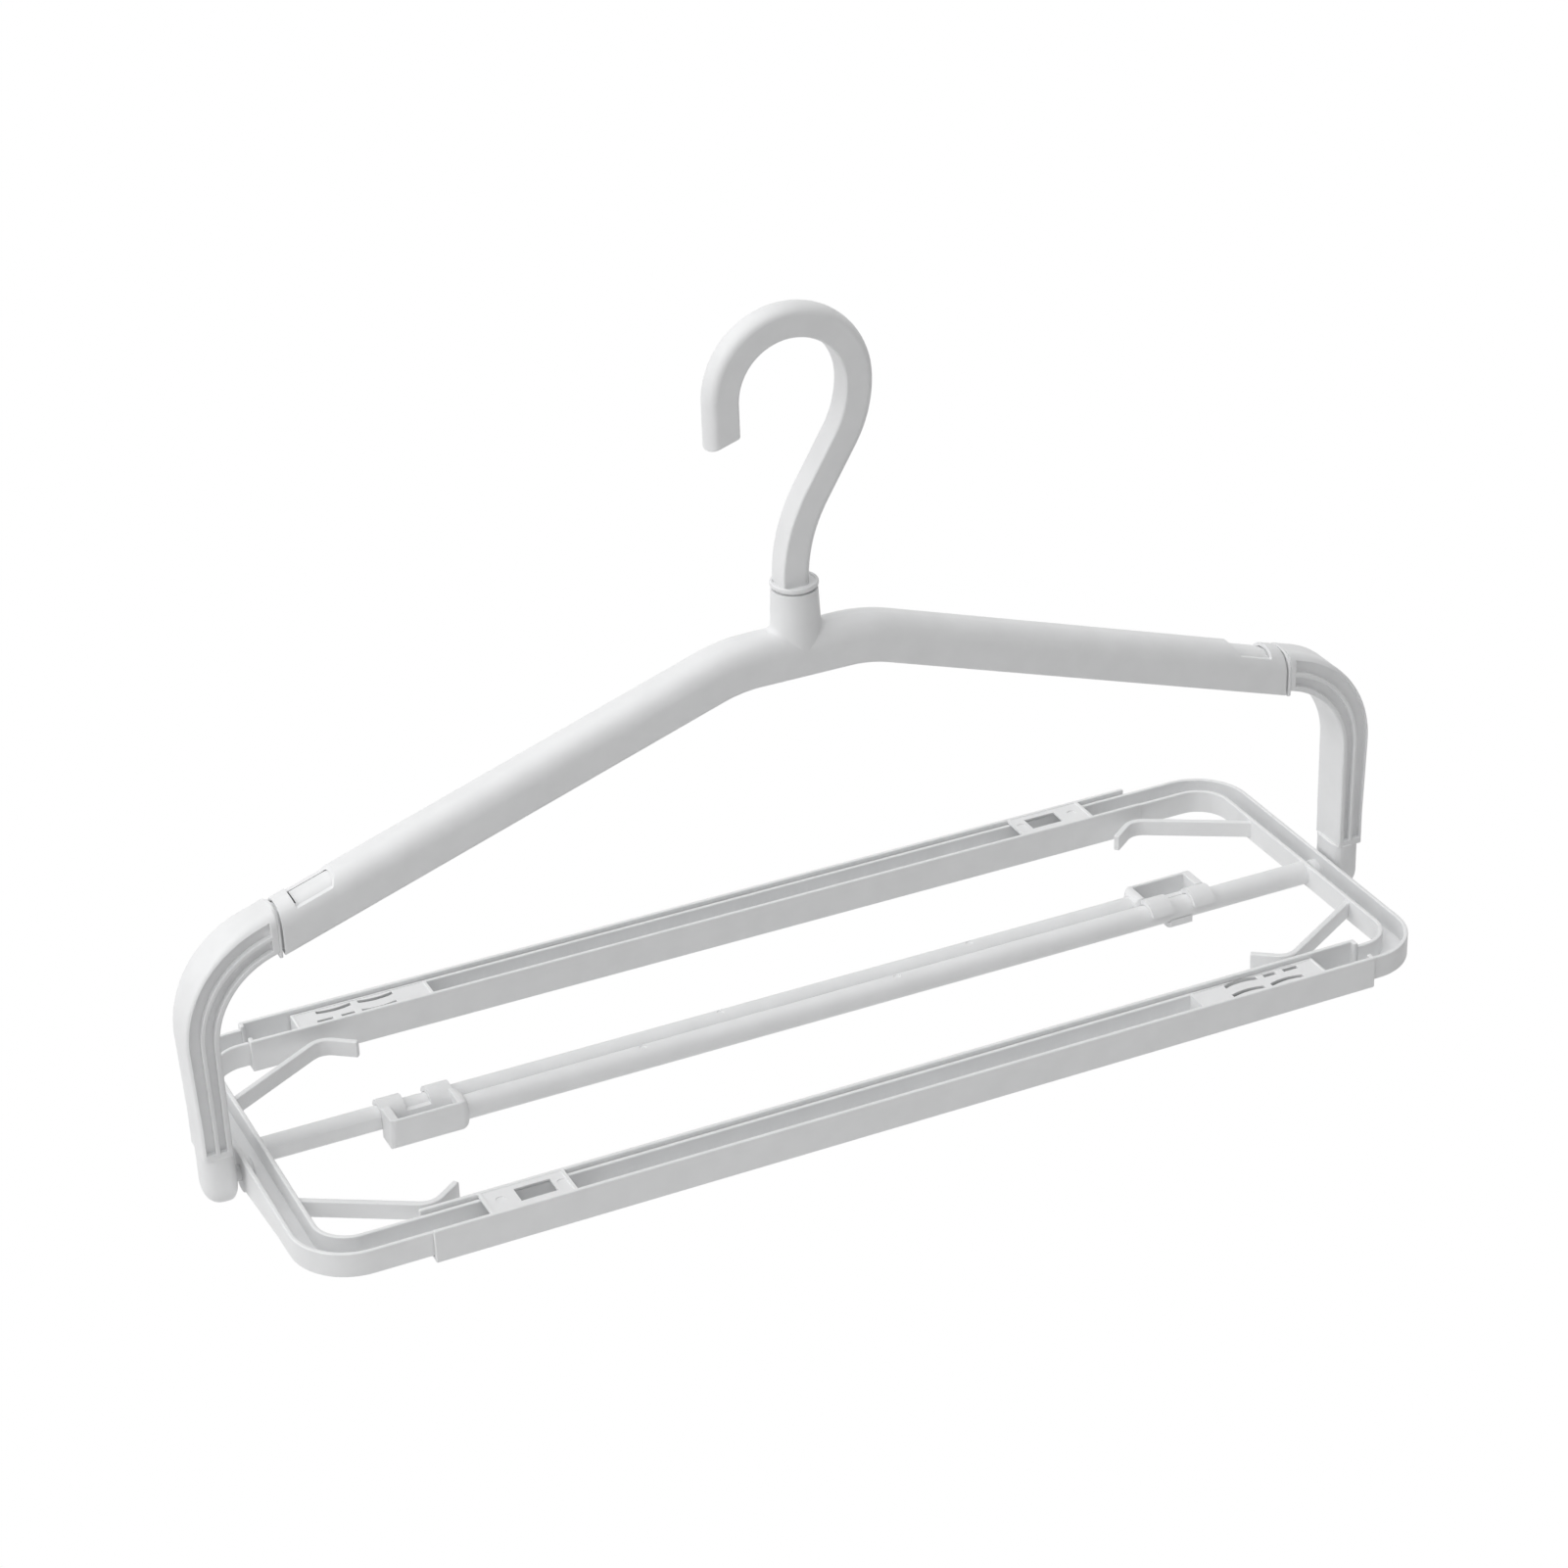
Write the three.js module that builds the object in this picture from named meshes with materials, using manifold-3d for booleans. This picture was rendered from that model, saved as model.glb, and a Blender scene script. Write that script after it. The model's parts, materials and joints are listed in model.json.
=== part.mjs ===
// Telescoping coat hanger: a swivel hook carries a hollow beam, two arms slide out of the
// beam's ends, and a drying frame of two nested halves hangs on pivots between the arms.
// Millimetres, +Z up, +X along the beam. The origin is the hook's seat on its pole.

import * as THREE from "three";
import { mergeVertices } from "three/addons/utils/BufferGeometryUtils.js";
import Module from "manifold-3d";

const wasm = await Module();
wasm.setup();

// Fits shared by all pieces
const slideClearance = 0.35;
const pivotClearance = 0.2;
const swivelClearance = 0.4;
const cutOverrun = 1;
const circleSteps = 32;
const bendSteps = 6;

// Hook
const hookInnerRadius = 21.3;
const hookLegLength = 13.9;
const hookTipSlant = 3.1;
const hookShoulderRadius = 38;
const hookLeanAngle = THREE.MathUtils.degToRad(31.5);
const hookLeanLength = 23.3;
const hookNeckRadius = 70;
const hookFlatWidth = 8.5;
const hookThickness = 12.2;
const hookDepth = 11;
const hookEdgeRadius = 0.9;
const hookFlangeRadius = 9.25;
const hookFlangeThickness = 2.6;
const hookStemRadius = 4.5;
const hookHeadRadius = 6.2;
const hookHeadThickness = 3.5;
const hookHeadSeat = 0.3;

// Beam
const beamDepth = 18;
const beamHeight = 18;
const beamWall = 2;
const beamTopRadius = 8;
const beamBottomRadius = 1.2;
const beamHalfLength = 211.5;
const beamFlatHalfLength = 26.5;
const beamSlope = THREE.MathUtils.degToRad(18.3);
const beamBendRadius = 50;
const collarHeight = 15.8;
const collarTopRadius = 9;
const collarFootRadius = 9.9;
const collarFootHeight = 1.4;
const collarFilletRadius = 2.4;
const collarInset = 8;
const windowLength = 18.5;
const windowEndDistance = 5.5;
const windowWidth = 13.6;

// Arms
const slideLength = 168;
const slideWall = 2;
const armFlangeGap = 2;
const armFlangeThickness = 1.2;
const armElbowLead = 2.6;
const armElbowRadius = 34;
const armBottomInset = 2.3;
const armFlangeEndThickness = 15.2;
const armElbowThickness = 12.6;
const armFootThickness = 11.4;
const armFootLength = 27.5;
const armDepth = 18;
const armDrop = 60.4;
const armPlainLength = 4.4;
const armOuterRim = 1.3;
const armInnerRim = 3;
const armRibWidth = 1.7;
const armRecessDepth = 3.2;
const armRecessEndHeight = 16.5;
const armBossReach = 1.2;
const armBossHeight = 14.5;

// Pivot pins
const pinRadius = 3;
const pinHeadRadius = 4.4;
const pinHeadThickness = 2.2;
const pinBossDepth = 8.5;

// Frame halves
const frameTopHeight = 10.5;
const frameSideGap = 2.2;
const frameHalfDepth = 85;
const bowTopDrop = 1.6;
const bowHeight = 10.1;
const bowWall = 1.8;
const bowFloor = 1.6;
const bowShortWidth = 11;
const bowOuterRadius = 24;
const bowInnerRadius = 13;
const bowEarRadius = 7.8;
const bowEarTaperLength = 38;

// Rails: a slim rail of one half runs in the sleeve of the other
const sleeveWidth = 16.7;
const sleeveHeight = 13.7;
const sleeveWall = 1.8;
const sleeveFloor = 1.4;
const sleeveEndInset = 27.7;
const sleeveFreeInset = 46.5;
const bridgeInset = 22.5;
const bridgeLength = 33.9;
const bridgeThickness = 1.2;
const bridgeWindowInset = 13;
const bridgeWindowLength = 14.2;
const bridgeWindowWidth = 8.2;
const tipInset = 48.3;
const tipLength = 56.7;
const tipPlate = 1.4;
const tipSlitWidth = 1;
const tipSlitLength = 15;
const tipSlitEdge = 1.9;
const tipSlitInset = 10;
const tipSlitSpacing = 16.5;

// Centre rods and their clamps
const rodRadius = 4.8;
const rodFlatOffset = 4.1;
const rodGap = 0.8;
const rodAxisDrop = 6.5;
const clampLength = 29;
const clampInset = 57;
const clampReach = 10.6;
const clampHeight = 13.3;
const clampWall = 1.6;
const clampEdgeRadius = 3;
const clampPocketDepth = 8.5;
const clampWrapWall = 1.9;
const clampArchLength = 9.5;
const clampCradleDrop = 3;
const clampLipReach = 4.5;
const clampFairing = 5;
const clampEndWall = 3.6;
const clampArchRise = 2.2;

// Fingers
const fingerThickness = 2.6;
const fingerHeight = 7;
const fingerDrop = 3;
const fingerRailGap = 4.8;
const fingerSpan = 43;
const fingerRise = 25.5;
const fingerTipSpan = 12.5;
const fingerTipFall = 9.5;
const fingerBendRadius = 6;

const plasticColour = 0xeef0f1;
const plasticRoughness = 0.42;

// Heights and places that follow from the sizes above
const leanSine = Math.sin(hookLeanAngle);
const leanCosine = Math.cos(hookLeanAngle);
const slopeSine = Math.sin(beamSlope);
const slopeCosine = Math.cos(beamSlope);
const slopeTangent = Math.tan(beamSlope);
const hookCentreZ = -hookInnerRadius;
const neckDrop = (hookShoulderRadius + hookNeckRadius) * leanSine + hookLeanLength * leanCosine;
const flangeTopZ = hookCentreZ - neckDrop;
const collarTopZ = flangeTopZ - hookFlangeThickness - swivelClearance;
const beamBottomZ = collarTopZ - collarHeight - beamHeight;
const flangeX = beamHalfLength + armFlangeGap;
const elbowX = flangeX + armElbowLead - armElbowRadius * slopeSine;
const armInnerReach = elbowX + armElbowRadius;
const elbowZ = beamBottomZ - (elbowX - beamFlatHalfLength) * slopeTangent
  + (armBottomInset - armElbowRadius) / slopeCosine;
const pivotZ = elbowZ - armDrop;
const frameTopZ = pivotZ + frameTopHeight;
const bossX = armInnerReach - armBossReach;
const frameHalfLength = bossX - frameSideGap;
const railGap = slideClearance;
const railOuter = frameHalfDepth - sleeveWall - railGap;
const railInner = frameHalfDepth - sleeveWidth + sleeveWall + railGap;
const sleeveInner = frameHalfDepth - sleeveWidth;
const sleeveFreeX = frameHalfLength - sleeveFreeInset;
const tipEndX = frameHalfLength - tipInset;
const tipStartX = tipEndX - tipLength;
const clampEndX = frameHalfLength - clampInset;
const clampStartX = clampEndX - clampLength;
const rodCentreY = rodGap / 2 + rodFlatOffset;

// Solids

function solid(geometry) {
  const bare = geometry.clone();
  bare.deleteAttribute("normal");
  bare.deleteAttribute("uv");
  const merged = mergeVertices(bare);
  const vertProperties = merged.attributes.position.array;
  const triVerts = new Uint32Array(merged.index.array);
  return new wasm.Manifold(new wasm.Mesh({ numProp: 3, vertProperties, triVerts }));
}

function mesh(name, body) {
  const made = body.getMesh();
  const geometry = new THREE.BufferGeometry();
  geometry.setAttribute("position", new THREE.BufferAttribute(made.vertProperties, 3));
  geometry.setIndex(new THREE.BufferAttribute(made.triVerts, 1));
  geometry.computeVertexNormals();
  const material = new THREE.MeshStandardMaterial({
    color: plasticColour,
    roughness: plasticRoughness,
    metalness: 0,
  });
  const piece = new THREE.Mesh(geometry, material);
  piece.name = name;
  return piece;
}

function box(x0, x1, y0, y1, z0, z1) {
  const geometry = new THREE.BoxGeometry(x1 - x0, y1 - y0, z1 - z0);
  geometry.translate((x0 + x1) / 2, (y0 + y1) / 2, (z0 + z1) / 2);
  return solid(geometry);
}

// An outline in plan, extruded between two heights
function planPrism(shape, z0, z1) {
  const geometry = new THREE.ExtrudeGeometry(shape, {
    depth: z1 - z0,
    bevelEnabled: false,
    curveSegments: bendSteps,
  });
  geometry.translate(0, 0, z0);
  return solid(geometry);
}

// An outline of (x, z) points seen from the front, extruded over a depth centred on y
function frontPrism(points, depth, y = 0) {
  const shape = new THREE.Shape(points);
  const geometry = new THREE.ExtrudeGeometry(shape, { depth, bevelEnabled: false });
  geometry.rotateX(Math.PI / 2);
  geometry.translate(0, y + depth / 2, 0);
  return solid(geometry);
}

// An outline of (y, z) points seen along X, extruded between two stations
function sidePrism(points, x0, x1) {
  const shape = new THREE.Shape(points);
  const geometry = new THREE.ExtrudeGeometry(shape, { depth: x1 - x0, bevelEnabled: false });
  geometry.rotateX(Math.PI / 2);
  geometry.rotateZ(Math.PI / 2);
  geometry.translate(x0, 0, 0);
  return solid(geometry);
}

function uprightCylinder(radius, z0, z1) {
  const geometry = new THREE.CylinderGeometry(radius, radius, z1 - z0, circleSteps);
  geometry.rotateX(Math.PI / 2);
  geometry.translate(0, 0, (z0 + z1) / 2);
  return solid(geometry);
}

function crossCylinder(radius, x0, x1, z) {
  const geometry = new THREE.CylinderGeometry(radius, radius, x1 - x0, circleSteps);
  geometry.rotateZ(Math.PI / 2);
  geometry.translate((x0 + x1) / 2, 0, z);
  return solid(geometry);
}

// A closed skin over rings of equal point count, each seen counter-clockwise from its far end
function loft(section, rings) {
  const count = section.length;
  const positions = rings.flat().flatMap((point) => [point.x, point.y, point.z]);
  const index = [];
  for (let i = 0; i < rings.length - 1; i++) {
    for (let j = 0; j < count; j++) {
      const next = (j + 1) % count;
      const a = i * count + j;
      const b = i * count + next;
      const c = b + count;
      const d = a + count;
      index.push(a, b, c, a, c, d);
    }
  }
  const last = (rings.length - 1) * count;
  for (const [a, b, c] of THREE.ShapeUtils.triangulateShape(section, [])) {
    index.push(a, c, b);
    index.push(last + a, last + b, last + c);
  }
  const geometry = new THREE.BufferGeometry();
  geometry.setAttribute("position", new THREE.Float32BufferAttribute(positions, 3));
  geometry.setIndex(index);
  return solid(geometry);
}

// Points of an arc in a 2D outline, both ends included
function arc(cx, cy, radius, start, end, steps = bendSteps) {
  const points = [];
  for (let i = 0; i <= steps; i++) {
    const angle = start + ((end - start) * i) / steps;
    points.push(new THREE.Vector2(cx + radius * Math.cos(angle), cy + radius * Math.sin(angle)));
  }
  return points;
}

// Section of the beam family: flat bottom, nearly half-round top; first axis across, second up
function archSection(width, height, base, topRadius, bottomRadius) {
  const half = width / 2;
  const top = base + height - topRadius;
  const low = base + bottomRadius;
  return [
    ...arc(-half + bottomRadius, low, bottomRadius, Math.PI, 1.5 * Math.PI, 2),
    ...arc(half - bottomRadius, low, bottomRadius, 1.5 * Math.PI, 2 * Math.PI, 2),
    ...arc(half - topRadius, top, topRadius, 0, Math.PI / 2),
    ...arc(-half + topRadius, top, topRadius, Math.PI / 2, Math.PI),
  ];
}

// Hook: one section swept along the inner line, from the tip over the pole and down the neck

function hookSection() {
  const half = hookDepth / 2;
  const bulge = hookThickness - hookFlatWidth;
  const points = [];
  for (const { x, y } of arc(0, 0, 1, -Math.PI / 2, Math.PI / 2, bendSteps + 2)) {
    points.push(new THREE.Vector2(hookFlatWidth + bulge * x, half * y));
  }
  points.push(new THREE.Vector2(hookEdgeRadius, half));
  points.push(new THREE.Vector2(0, half - hookEdgeRadius));
  points.push(new THREE.Vector2(0, -half + hookEdgeRadius));
  points.push(new THREE.Vector2(hookEdgeRadius, -half));
  return points;
}

// Stations along the inner line: place, and the direction away from the pole
function hookStations() {
  const stations = [];
  const leg = hookCentreZ - hookLegLength;
  stations.push({ x: -hookInnerRadius, z: leg, angle: Math.PI });
  const overSteps = 3 * bendSteps;
  for (let i = 0; i <= overSteps; i++) {
    const angle = Math.PI * (1 - i / overSteps);
    const x = hookInnerRadius * Math.cos(angle);
    const z = hookCentreZ + hookInnerRadius * Math.sin(angle);
    stations.push({ x, z, angle });
  }
  const shoulderX = hookInnerRadius - hookShoulderRadius;
  for (let i = 1; i <= bendSteps; i++) {
    const angle = (-hookLeanAngle * i) / bendSteps;
    const x = shoulderX + hookShoulderRadius * Math.cos(angle);
    const z = hookCentreZ + hookShoulderRadius * Math.sin(angle);
    stations.push({ x, z, angle });
  }
  const leanEnd = stations[stations.length - 1];
  const neckX = leanEnd.x - hookLeanLength * leanSine + hookNeckRadius * leanCosine;
  const neckZ = leanEnd.z - hookLeanLength * leanCosine - hookNeckRadius * leanSine;
  for (let i = 0; i <= bendSteps; i++) {
    const angle = -hookLeanAngle * (1 - i / bendSteps);
    const x = neckX - hookNeckRadius * Math.cos(angle);
    const z = neckZ - hookNeckRadius * Math.sin(angle);
    stations.push({ x, z, angle });
  }
  return stations;
}

function hook() {
  const section = hookSection();
  const stations = hookStations();
  const rings = stations.map(({ x, z, angle }, i) => {
    const slant = i === 0 ? hookTipSlant / hookThickness : 0;
    return section.map(({ x: out, y: across }) => new THREE.Vector3(
      x + out * Math.cos(angle),
      -across,
      z + out * Math.sin(angle) - slant * out,
    ));
  });
  const flangeBottomZ = flangeTopZ - hookFlangeThickness;
  const headTopZ = beamBottomZ + beamHeight - beamWall - hookHeadSeat;
  const flange = uprightCylinder(hookFlangeRadius, flangeBottomZ, flangeTopZ);
  const stem = uprightCylinder(hookStemRadius, headTopZ - hookHeadThickness, flangeTopZ);
  const head = uprightCylinder(hookHeadRadius, headTopZ - hookHeadThickness, headTopZ);
  return mesh("hook", loft(section, rings).add(flange).add(stem).add(head));
}

// Beam: stations of its bottom line, flat in the middle and sloping down to both ends

function beamStations(over) {
  const bendLength = beamBendRadius * Math.tan(beamSlope / 2);
  const bendX = beamFlatHalfLength - bendLength;
  const right = [];
  for (let i = 0; i <= bendSteps; i++) {
    const angle = (beamSlope * i) / bendSteps;
    const x = bendX + beamBendRadius * Math.sin(angle);
    const z = beamBottomZ - beamBendRadius * (1 - Math.cos(angle));
    right.push({ x, z, angle });
  }
  const endX = beamHalfLength + beamHeight + over;
  const endZ = beamBottomZ - (endX - beamFlatHalfLength) * slopeTangent;
  right.push({ x: endX, z: endZ, angle: beamSlope });
  const left = right.map(({ x, z, angle }) => ({ x: -x, z, angle: -angle })).reverse();
  return [...left, ...right];
}

function beamSweep(section, over) {
  const rings = beamStations(over).map(({ x, z, angle }) => section.map(
    ({ x: across, y: up }) => new THREE.Vector3(
      x + up * Math.sin(angle),
      across,
      z + up * Math.cos(angle),
    ),
  ));
  return loft(section, rings);
}

function cavitySection(clearance) {
  const inset = beamWall + clearance;
  return archSection(
    beamDepth - 2 * inset,
    beamHeight - 2 * inset,
    inset,
    beamTopRadius - inset,
    beamBottomRadius / 2,
  );
}

function collar() {
  const beamTopZ = collarTopZ - collarHeight;
  const footZ = beamTopZ + collarFootHeight;
  const fillet = arc(
    collarFootRadius + collarFilletRadius,
    footZ,
    collarFilletRadius,
    Math.PI,
    1.5 * Math.PI,
  );
  const skirtRadius = collarFootRadius + collarFilletRadius;
  const profile = [
    new THREE.Vector2(0, collarTopZ),
    new THREE.Vector2(collarTopRadius, collarTopZ),
    ...fillet,
    new THREE.Vector2(skirtRadius, beamTopZ - collarInset / 2),
    new THREE.Vector2(collarTopRadius, beamTopZ - collarInset),
    new THREE.Vector2(0, beamTopZ - collarInset),
  ].reverse();
  const geometry = new THREE.LatheGeometry(profile, circleSteps);
  geometry.rotateX(Math.PI / 2);
  const skirtDepth = collarFootRadius;
  const limits = box(-skirtRadius, skirtRadius, -skirtDepth, skirtDepth,
    beamBottomZ + beamWall, collarTopZ);
  return solid(geometry).intersect(limits);
}

function beam() {
  const outer = archSection(beamDepth, beamHeight, 0, beamTopRadius, beamBottomRadius);
  const endsZ = beamBottomZ - beamHalfLength;
  const ends = box(-beamHalfLength, beamHalfLength, -beamDepth, beamDepth, endsZ, 0);
  let body = beamSweep(outer, 0).intersect(ends).add(collar());
  body = body.subtract(beamSweep(cavitySection(0), cutOverrun));
  const roofZ = beamBottomZ + beamHeight - beamWall;
  const headRoom = uprightCylinder(
    hookHeadRadius + swivelClearance,
    beamBottomZ + beamWall,
    roofZ,
  );
  const bore = uprightCylinder(
    hookStemRadius + swivelClearance,
    roofZ - cutOverrun,
    collarTopZ + cutOverrun,
  );
  body = body.subtract(headRoom).subtract(bore);
  const windowX = beamHalfLength - windowEndDistance;
  const windowLowZ = beamBottomZ - (windowX - beamFlatHalfLength) * slopeTangent + beamHeight / 2;
  for (const side of [-1, 1]) {
    const edges = [side * windowX, side * (windowX - windowLength)];
    const x0 = Math.min(...edges);
    const x1 = Math.max(...edges);
    const half = windowWidth / 2;
    body = body.subtract(box(x0, x1, -half, half, windowLowZ, beamBottomZ));
  }
  return mesh("beam", body);
}

// Arm, made on the +X side: a slide inside the beam, a flange, an elbow and a foot

// Pairs of points on the inner and outer edge, from the flange round the elbow to the foot
function armStations() {
  const stations = [];
  const flangeInnerZ = beamBottomZ - (flangeX - beamFlatHalfLength) * slopeTangent
    + armBottomInset / slopeCosine;
  const flangeOuterZ = flangeInnerZ + armFlangeEndThickness / slopeCosine;
  stations.push({
    inner: new THREE.Vector2(flangeX, flangeInnerZ),
    outer: new THREE.Vector2(flangeX, flangeOuterZ),
  });
  const steps = 2 * bendSteps;
  const startAngle = Math.PI / 2 - beamSlope;
  for (let i = 0; i <= steps; i++) {
    const angle = startAngle * (1 - i / steps);
    const thickness = THREE.MathUtils.lerp(armFlangeEndThickness, armElbowThickness, i / steps);
    const inner = new THREE.Vector2(Math.cos(angle), Math.sin(angle));
    const outer = inner.clone().multiplyScalar(armElbowRadius + thickness);
    inner.multiplyScalar(armElbowRadius);
    const centre = new THREE.Vector2(elbowX, elbowZ);
    stations.push({ inner: inner.add(centre), outer: outer.add(centre) });
  }
  const footZ = pivotZ + armFootLength;
  const footX = armInnerReach + armFootThickness;
  const endZ = pivotZ - armDepth / 2;
  stations.push({
    inner: new THREE.Vector2(armInnerReach, footZ),
    outer: new THREE.Vector2(footX, footZ),
  });
  stations.push({
    inner: new THREE.Vector2(armInnerReach, endZ),
    outer: new THREE.Vector2(footX, endZ),
  });
  return stations;
}

// A band of the arm between two offsets, each measured from the edge that it follows
function armBand(outerOffset, innerOffset) {
  const outerLine = [];
  const innerLine = [];
  for (const { inner, outer } of armStations()) {
    const across = inner.clone().sub(outer);
    const thickness = across.length();
    across.normalize();
    outerLine.push(outer.clone().addScaledVector(across, outerOffset(thickness)));
    innerLine.push(inner.clone().addScaledVector(across, -innerOffset(thickness)));
  }
  return [...innerLine, ...outerLine.reverse()];
}

function armSlide() {
  const section = cavitySection(slideClearance);
  const hollowHalf = beamDepth / 2 - beamWall - slideClearance - slideWall;
  const hollowTop = beamHeight - beamWall - slideClearance - slideWall;
  const origin = new THREE.Vector3(
    flangeX,
    0,
    beamBottomZ - (flangeX - beamFlatHalfLength) * slopeTangent,
  );
  const along = armFlangeThickness;
  const rings = [-slideLength, along].map((station) => section.map(
    ({ x: across, y: up }) => new THREE.Vector3(station, across, up),
  ));
  const bar = loft(section, rings);
  const cutEnd = -slideClearance - armFlangeGap;
  const hollow = box(
    -slideLength - cutOverrun, cutEnd,
    -hollowHalf, hollowHalf,
    0, hollowTop,
  );
  const placed = new THREE.Matrix4().makeRotationY(beamSlope).setPosition(origin);
  return bar.subtract(hollow).transform(placed.toArray());
}

function armBody() {
  const none = () => 0;
  let body = frontPrism(armBand(none, none), armDepth);
  const grooveOuter = armBand(
    () => armOuterRim,
    (thickness) => (thickness + armRibWidth) / 2,
  );
  const grooveInner = armBand(
    (thickness) => (thickness + armRibWidth) / 2,
    () => armInnerRim,
  );
  const plainX = flangeX + armPlainLength;
  const recessLimits = box(
    plainX, armInnerReach + armElbowThickness,
    -armDepth, armDepth,
    pivotZ + armRecessEndHeight, beamBottomZ,
  );
  const faceY = armDepth / 2 + cutOverrun - (armRecessDepth + cutOverrun) / 2;
  for (const side of [-1, 1]) {
    for (const groove of [grooveOuter, grooveInner]) {
      const cut = frontPrism(groove, armRecessDepth + cutOverrun, side * faceY);
      body = body.subtract(cut.intersect(recessLimits));
    }
  }
  const bossHalf = armDepth / 2;
  body = body.add(box(
    bossX, armInnerReach + armFootThickness / 2,
    -bossHalf, bossHalf,
    pivotZ - bossHalf, pivotZ + armBossHeight,
  ));
  const footX = armInnerReach + armElbowThickness + armDepth;
  const roundFoot = crossCylinder(bossHalf, 0, footX, pivotZ);
  const aboveFoot = box(0, footX, -bossHalf, bossHalf, pivotZ, 0);
  body = body.intersect(roundFoot.add(aboveFoot));
  const flangeZ = beamBottomZ - (flangeX - beamFlatHalfLength) * slopeTangent;
  const flange = sidePrism(
    archSection(beamDepth, beamHeight / slopeCosine, flangeZ, beamTopRadius, beamBottomRadius),
    flangeX - armFlangeThickness,
    flangeX,
  );
  return body.add(flange);
}

function arm(name) {
  const hole = crossCylinder(
    pinRadius + pivotClearance,
    bossX - cutOverrun,
    bossX + pinBossDepth,
    pivotZ,
  );
  return mesh(name, armBody().add(armSlide()).subtract(hole));
}

function pivotPin(name) {
  const headX = frameHalfLength - bowWall - pivotClearance - pinHeadThickness;
  const shaftEnd = bossX + pinBossDepth - pivotClearance;
  const head = crossCylinder(pinHeadRadius, headX, headX + pinHeadThickness, pivotZ);
  return mesh(name, crossCylinder(pinRadius, headX, shaftEnd, pivotZ).add(head));
}

// Frame half, made with its bow at -X, its sleeve at +Y and z = 0 at the frame's top.
// The other half is the same half turned round the upright axis.

// The bow in plan: slim rail, near corner, short side and far corner, drawn in by an inset
function bowOutline(inset, over) {
  const centreX = bowOuterRadius - frameHalfLength;
  const outerY = railOuter - bowOuterRadius;
  const innerY = railInner - bowInnerRadius;
  const outerRadius = bowOuterRadius - inset;
  const innerRadius = bowInnerRadius + inset;
  const railEndX = tipStartX + over;
  const sleeveEndX = sleeveEndInset - frameHalfLength + over;
  const innerX = bowShortWidth - frameHalfLength + bowInnerRadius;
  const shape = new THREE.Shape();
  shape.moveTo(railEndX, inset - railOuter);
  shape.lineTo(centreX, inset - railOuter);
  shape.absarc(centreX, -outerY, outerRadius, -Math.PI / 2, -Math.PI, true);
  shape.absarc(centreX, outerY, outerRadius, Math.PI, Math.PI / 2, true);
  shape.lineTo(sleeveEndX, railOuter - inset);
  shape.lineTo(sleeveEndX, railInner + inset);
  shape.lineTo(innerX, railInner + inset);
  shape.absarc(innerX, innerY, innerRadius, Math.PI / 2, Math.PI, false);
  shape.absarc(innerX, -innerY, innerRadius, Math.PI, 1.5 * Math.PI, false);
  shape.lineTo(railEndX, -railInner - inset);
  return shape;
}

function bow(name) {
  const topZ = -bowTopDrop;
  const bottomZ = topZ - bowHeight;
  const floorZ = bottomZ + bowFloor;
  const earZ = -frameTopHeight;
  const outerX = -frameHalfLength;
  const wallX = outerX + bowWall;
  const taperStart = bowEarRadius + bowEarTaperLength;
  const ear = sidePrism([
    new THREE.Vector2(-taperStart, topZ),
    new THREE.Vector2(-taperStart, bottomZ),
    new THREE.Vector2(-bowEarRadius, earZ - bowEarRadius),
    new THREE.Vector2(bowEarRadius, earZ - bowEarRadius),
    new THREE.Vector2(taperStart, bottomZ),
    new THREE.Vector2(taperStart, topZ),
  ], outerX, wallX);
  const headRoom = box(
    wallX, wallX + pinHeadThickness + 2 * slideClearance,
    -pinHeadRadius - slideClearance, pinHeadRadius + slideClearance,
    earZ - bowEarRadius, floorZ + cutOverrun,
  );
  const hole = crossCylinder(
    pinRadius + pivotClearance,
    outerX - cutOverrun,
    wallX + cutOverrun,
    earZ,
  );
  const body = planPrism(bowOutline(0, 0), bottomZ, topZ)
    .subtract(planPrism(bowOutline(bowWall, cutOverrun), floorZ, topZ + cutOverrun))
    .subtract(headRoom)
    .add(ear)
    .subtract(hole);
  return mesh(name, body);
}

function sleeve(name) {
  const closedX = sleeveEndInset - frameHalfLength;
  const channelInner = sleeveInner + sleeveWall;
  const channelOuter = frameHalfDepth - sleeveWall;
  const bridgeEnd = sleeveFreeX - bridgeInset;
  const bridgeStart = bridgeEnd - bridgeLength;
  const windowEnd = bridgeEnd - bridgeWindowInset;
  const windowStart = windowEnd - bridgeWindowLength;
  const windowMiddle = frameHalfDepth - sleeveWidth / 2;
  const body = box(closedX, sleeveFreeX, sleeveInner, frameHalfDepth, -sleeveHeight, 0)
    .subtract(box(
      closedX + sleeveWall, sleeveFreeX + cutOverrun,
      channelInner, channelOuter,
      sleeveFloor - sleeveHeight, cutOverrun,
    ))
    .add(box(bridgeStart, bridgeEnd, sleeveInner, frameHalfDepth, -bridgeThickness, 0))
    .subtract(box(
      windowStart, windowEnd,
      windowMiddle - bridgeWindowWidth / 2, windowMiddle + bridgeWindowWidth / 2,
      -bridgeThickness - cutOverrun, cutOverrun,
    ));
  return mesh(name, body);
}

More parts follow.
